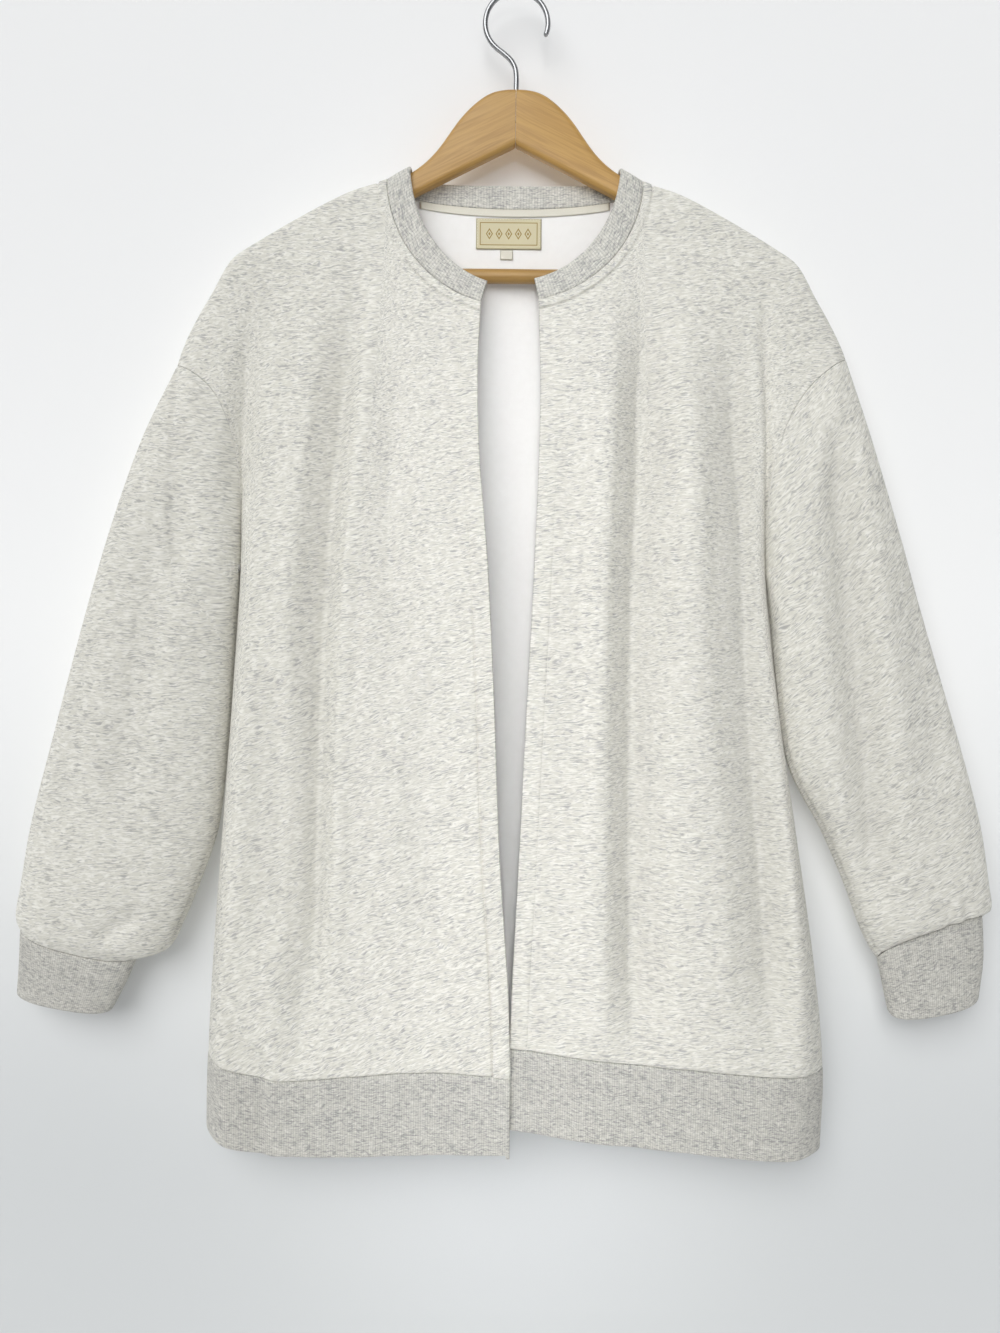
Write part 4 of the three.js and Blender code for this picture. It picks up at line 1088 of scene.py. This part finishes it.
def neckStitchLine(side, face):
    height = side["neckDepth"] if face is front else shell["backNeckDrop"]
    low = 0 if face is back else side["frontEdge"]["x"][0] + 1
    x, z = neckArc(side, face)[:2]
    slopeX, slopeZ = x / shell["neckHalfWidth"] ** 2, (z - shell["neckSeamTop"]) / height ** 2
    out = fleece["turning"] / np.hypot(slopeX, slopeZ)
    x, z = x + out * slopeX, z + out * slopeZ
    keep = (x > low) & (follow(shoulderLine, x) - z > bodyStitch["underShoulder"])
    return onPanel(side, face, x[keep], z[keep])


def facingStitchLine(side):
    top = shell["neckSeamTop"] - side["neckDepth"] - bodyStitch["belowNeck"]
    foot = follow(side["hem"], fleece["facing"], "seam") + bodyStitch["aboveHem"]
    z = np.linspace(top, foot, 240)
    return onPanel(side, front, follow(side["frontEdge"], z) + fleece["facing"], z)


def onLining(x, z, sunk):
    x, z = np.broadcast_arrays(x, z)
    line = np.stack([x, liningY(x, z) + sunk, z], axis=-1)
    return line, np.broadcast_to((0.0, -1.0, 0.0), line.shape)


neckLines = [neckStitchLine(side, face) for side in sides for face in (front, back)]
edgeLines = [facingStitchLine(side) for side in sides]
bodyStitches = makeStitches("topstitching", neckLines + edgeLines, bodyStitch)
tapeX = np.linspace(1 - tape["end"], tape["end"] - 1, 80)
tapeStitches = makeStitches("tapeStitching", [
    onLining(tapeX, tapeTop(tapeX) - down, tapeStitch["sunk"])
    for down in (tapeStitch["inset"], tape["width"] - tapeStitch["footInset"])], tapeStitch)
end = labelStitch["endInset"]
labelZ = np.linspace(labelSize["foot"] + end, labelSize["top"] - end, 20)
labelX = np.linspace(labelSize["left"] + end, labelSize["right"] - end, 80)
lifted = -labelStitch["lift"] * np.linspace(1, 0, 20) ** 2
labelStitches = makeStitches("labelStitching", [
    onLining(labelSize["left"] + labelStitch["inset"], labelZ, lifted),
    onLining(labelSize["right"] - labelStitch["inset"], labelZ, lifted),
    onLining(labelX, labelSize["top"] - end, 0)], labelStitch)
print("tape, label and stitches sewn")


# The hanger

hanger = {"thickness": 12, "rounding": 4, "joint": 0.15, "archTop": -115, "archFall": 15, "notch": 1.6,
          "past": 30, "barRadius": 5.5, "barHalfLength": 204, "barHeight": -213.5, "barEdge": 0.6,
          "wireRadius": 2, "hookRadius": 24, "shankTop": -60, "shankFoot": -96}
armOutline = [(0, -73), (12, -74), (20, -76.5), (28, -81.5), (36.5, -89), (44, -97.5), (51.5, -108),
              (58, -117), (65, -125), (73, -132), (84, -139), (112, -152.5), (165, -177.5), (190, -191.5),
              (208, -203.5), (218, -211.5), (222, -218), (219, -224), (211, -226), (200, -224), (193, -211.5)]
hookNeck = [(-3.2, 9), (-10, 15.5)]  # out from the shank and up from its top
tipRadii = [0.98, 0.9, 0.76, 0.5, 0.12]


def startCurve(name, kind):
    curve = added(name, bpy.ops.curve.primitive_bezier_curve_add)
    curve.data.splines.clear()
    curve.data.dimensions = kind
    return curve


def placeApplied():
    bpy.ops.object.transform_apply(location=True, rotation=True, scale=True)


def finishHard(piece, material, bend, *cuts):
    # made a mesh at its place, merged, cut, and smooth wherever it bends less than this many degrees
    bpy.ops.object.select_all(action="DESELECT")
    piece.select_set(True)
    bpy.context.view_layer.objects.active = piece
    if piece.type == "CURVE":
        bpy.ops.object.convert(target="MESH")
        placeApplied()
        bpy.ops.object.mode_set(mode="EDIT")
        bpy.ops.mesh.select_all(action="SELECT")
        bpy.ops.mesh.remove_doubles(threshold=0.00001)
        for place, facing in cuts:
            bpy.ops.mesh.select_all(action="SELECT")
            bpy.ops.mesh.bisect(plane_co=place, plane_no=facing, clear_inner=True, use_fill=True)
        bpy.ops.mesh.select_all(action="SELECT")
        bpy.ops.mesh.normals_make_consistent(inside=False)
        bpy.ops.object.mode_set(mode="OBJECT")
    piece = bpy.context.object
    bpy.ops.object.shade_smooth_by_angle(angle=math.radians(bend))
    piece.data.materials.append(materials[material])
    return piece


def makeArm(side):
    sign = side["sign"]
    curve = startCurve(named("hangerArm", side), "2D")
    corners = [(-hanger["past"], armOutline[0][1])] + armOutline + [
        (0, hanger["archTop"]), (-hanger["past"], hanger["archTop"] - hanger["archFall"])]
    spline = curve.data.splines.new("BEZIER")
    spline.bezier_points.add(len(corners) - 1)
    spline.use_cyclic_u = True
    archEnd = len(corners) - 3
    for i, (point, (x, z)) in enumerate(zip(spline.bezier_points, corners)):
        point.co = (sign * x * mm, z * mm, 0)
        point.handle_left_type = "VECTOR" if i < 2 or i > archEnd else "AUTO"
        point.handle_right_type = "VECTOR" if i < 1 or i >= archEnd else "AUTO"
    spline.resolution_u = 6
    curve.data.fill_mode = "BOTH"
    curve.data.extrude = (hanger["thickness"] / 2 - hanger["rounding"]) * mm
    curve.data.bevel_depth = hanger["rounding"] * mm
    curve.data.bevel_resolution = 4
    curve.data.offset = -hanger["rounding"] * mm
    curve.rotation_euler = (math.pi / 2, 0, 0)
    return finishHard(curve, named("wood", side), 35, ((sign * hanger["joint"] * mm, 0, 0), (sign, 0, 0)),
                      ((0, 0, (hanger["archTop"] + hanger["notch"]) * mm), (sign * 0.8, 0, 0.6)))


def makeBar():
    bar = added("hangerBar", bpy.ops.mesh.primitive_cylinder_add, vertices=40,
                radius=hanger["barRadius"] * mm, depth=2 * hanger["barHalfLength"] * mm,
                location=(0, 0, hanger["barHeight"] * mm), rotation=(0, math.pi / 2, 0))
    placeApplied()
    bpy.ops.object.modifier_add(type="BEVEL")
    bar.modifiers[-1].width = hanger["barEdge"] * mm
    bar.modifiers[-1].segments = 2
    bpy.ops.object.modifier_apply(modifier=bar.modifiers[-1].name)
    return finishHard(bar, "woodBar", 35)


def makeHook():
    radius, top = hanger["hookRadius"], hanger["shankTop"]
    centre = hanger["wireRadius"] - radius
    route = [(0, hanger["shankFoot"]), (0, (top + hanger["shankFoot"]) / 2), (0, top)]
    route += [(x, top + up) for x, up in hookNeck]
    for degrees in range(232, -25, -16):
        angle = math.radians(degrees)
        route.append((radius * math.cos(angle), centre + radius * math.sin(angle)))
    line = smoothRoute(route, 8)
    last = len(tipRadii)
    close = 1 - (np.arange(last)[::-1, None] / last) ** 1.6
    line[-last:] = lerp(line[-1 - last], line[-1], close)
    curve = startCurve("hangerHook", "3D")
    spline = curve.data.splines.new("POLY")
    spline.points.add(len(line) - 1)
    for point, (x, z), size in zip(spline.points, line, [1] * (len(line) - last) + tipRadii):
        point.co = (x * mm, 0, z * mm, 1)
        point.radius = size
    curve.data.bevel_depth = hanger["wireRadius"] * mm
    curve.data.bevel_resolution = 6
    curve.data.use_fill_caps = True
    return finishHard(curve, "steel", 50)


armRight, armLeft, bar, hook = makeArm(rightSide), makeArm(leftSide), makeBar(), makeHook()
print("hanger made")


# What each piece stands for, and the size each cloth is cut to

def standIn(piece, slotName, *nodes):
    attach(piece, "root")
    if nodes:
        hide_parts(*nodes)


cuts = [
    (frontRight, "front_right", "heather_fleece", (0.245, 0.700), 0.147, [armRight]),
    (frontLeft, "front_left", "heather_fleece", (0.258, 0.700), 0.149, [armLeft]),
    (backPanel, "back", "heather_fleece", (0.510, 0.700), 0.305, [armRight, armLeft]),
    (sleeveRight, "sleeve_right", "heather_fleece", (0.385, 0.455), 0.117, [frontRight, backPanel]),
    (sleeveLeft, "sleeve_left", "heather_fleece", (0.385, 0.455), 0.109, [frontLeft, backPanel]),
    (cuffs["right"], "cuff_right", "rib", (0.190, 0.050), None, [sleeveRight]),
    (cuffs["left"], "cuff_left", "rib", (0.175, 0.052), None, [sleeveLeft]),
    (hemBand, "hem_band", "rib", (1.000, 0.062), None, [frontRight, frontLeft, backPanel]),
    (neckRib, "neckband", "rib", (0.530, 0.021), None, [armRight, armLeft]),
    (neckTape, "neck_tape", "cream_tape", (0.152, 0.010), 0.00091, [backPanel]),
    (wovenLabel, "label", "woven_label", (0.051, 0.0238), None, [backPanel]),
    (sizeTab, "size_tab", "cream_tape", (0.010, 0.010), 0.000076, [wovenLabel]),
]
for piece, nodeName, slotName, flat, cutArea, hangsFrom in cuts:
    standIn(piece, slotName, nodeName)
    shown = sum(face.area for face in piece.data.polygons) / 2
    print(piece.name, "flat", round(flat[0] * flat[1], 4), "shown", round(shown, 5))
for piece in (bodyStitches, tapeStitches, labelStitches):
    standIn(piece, "cream_tape")
standIn(armRight, "hanger_wood", "hanger_arm_right")
standIn(armLeft, "hanger_wood", "hanger_arm_left")
standIn(bar, "hanger_wood", "hanger_bar")
standIn(hook, "hook_steel", "hanger_hook")


# Wall, floor and light

def stagePlane(name, width, height, place, turn):
    plane = added(name, bpy.ops.mesh.primitive_plane_add, size=1, location=place, rotation=turn)
    plane.scale = (width, height, 1)
    placeApplied()
    tree, where = startMaterial(name, name + "Paint", 0.9, False)
    plane.data.materials.append(materials[name])
    return plane, tree, node(tree, "SeparateXYZ", {0: where}).outputs["Z"]


wall, tree, height = stagePlane("paleWall", 7, 3.4, (0, 0.026, 0.1), (math.pi / 2, 0, 0))
wall.visible_shadow = False
# painted shade: the wall is darker towards its foot, as under light from above, and a little darker at its
# top
upper = mixed(tree, ranged(tree, height, -0.55, -0.05), colours["wallMiddle"], colours["wallTop"])
paint(tree, mixed(tree, ranged(tree, height, -0.95, -0.45), colours["wallFootShade"], upper))
# from behind it is clear, so that it doesn't hide the cardigan
away, clear = node(tree, "NewGeometry").outputs["Backfacing"], node(tree, "BsdfTransparent").outputs[0]
both = node(tree, "MixShader", {0: away, 1: tree.nodes["Principled BSDF"].outputs[0], 2: clear})
feed(tree, tree.nodes["Material Output"].inputs["Surface"], both.outputs[0])
tree = stagePlane("paleFloor", 9, 9, (0, 0, -1.6), (0, 0, 0))[1]
paint(tree, colours["floor"])


def addLight(kind, name, place, aim, power, **settings):
    light = added(name, bpy.ops.object.light_add, type=kind, location=place)
    light.data.energy = power
    for label, value in settings.items():
        setattr(light.data, label, value)
    light.rotation_euler = (Vector(aim) - Vector(place)).to_track_quat("-Z", "Y").to_euler()


addLight("SUN", "windowLight", (-0.8, -2.1, 0.85), (0, 0, -0.45), 1.85, angle=math.radians(48))
addLight("AREA", "stripLight", (0.03, -2.6, -0.55), (0.005, 0, -0.62), 0.19, shape="RECTANGLE", size=0.16,
         size_y=0.9, spread=math.radians(12))
addLight("AREA", "fillLight", (0.1, -1.8, 0.1), (0, 0, -0.4), 2.6, shape="DISK", size=0.8)
addLight("AREA", "backLight", (-0.4, 2.4, 0.6), (0, 0, -0.45), 26, shape="DISK", size=2.2)

scene.world = bpy.data.worlds.new("studio")
scene.world.use_nodes = True
sky = scene.world.node_tree.nodes["Background"].inputs
sky["Color"].default_value = (0.95, 0.98, 1.0, 1)
sky["Strength"].default_value = 0.27
scene.view_settings.view_transform = "Standard"
print("stage lit")
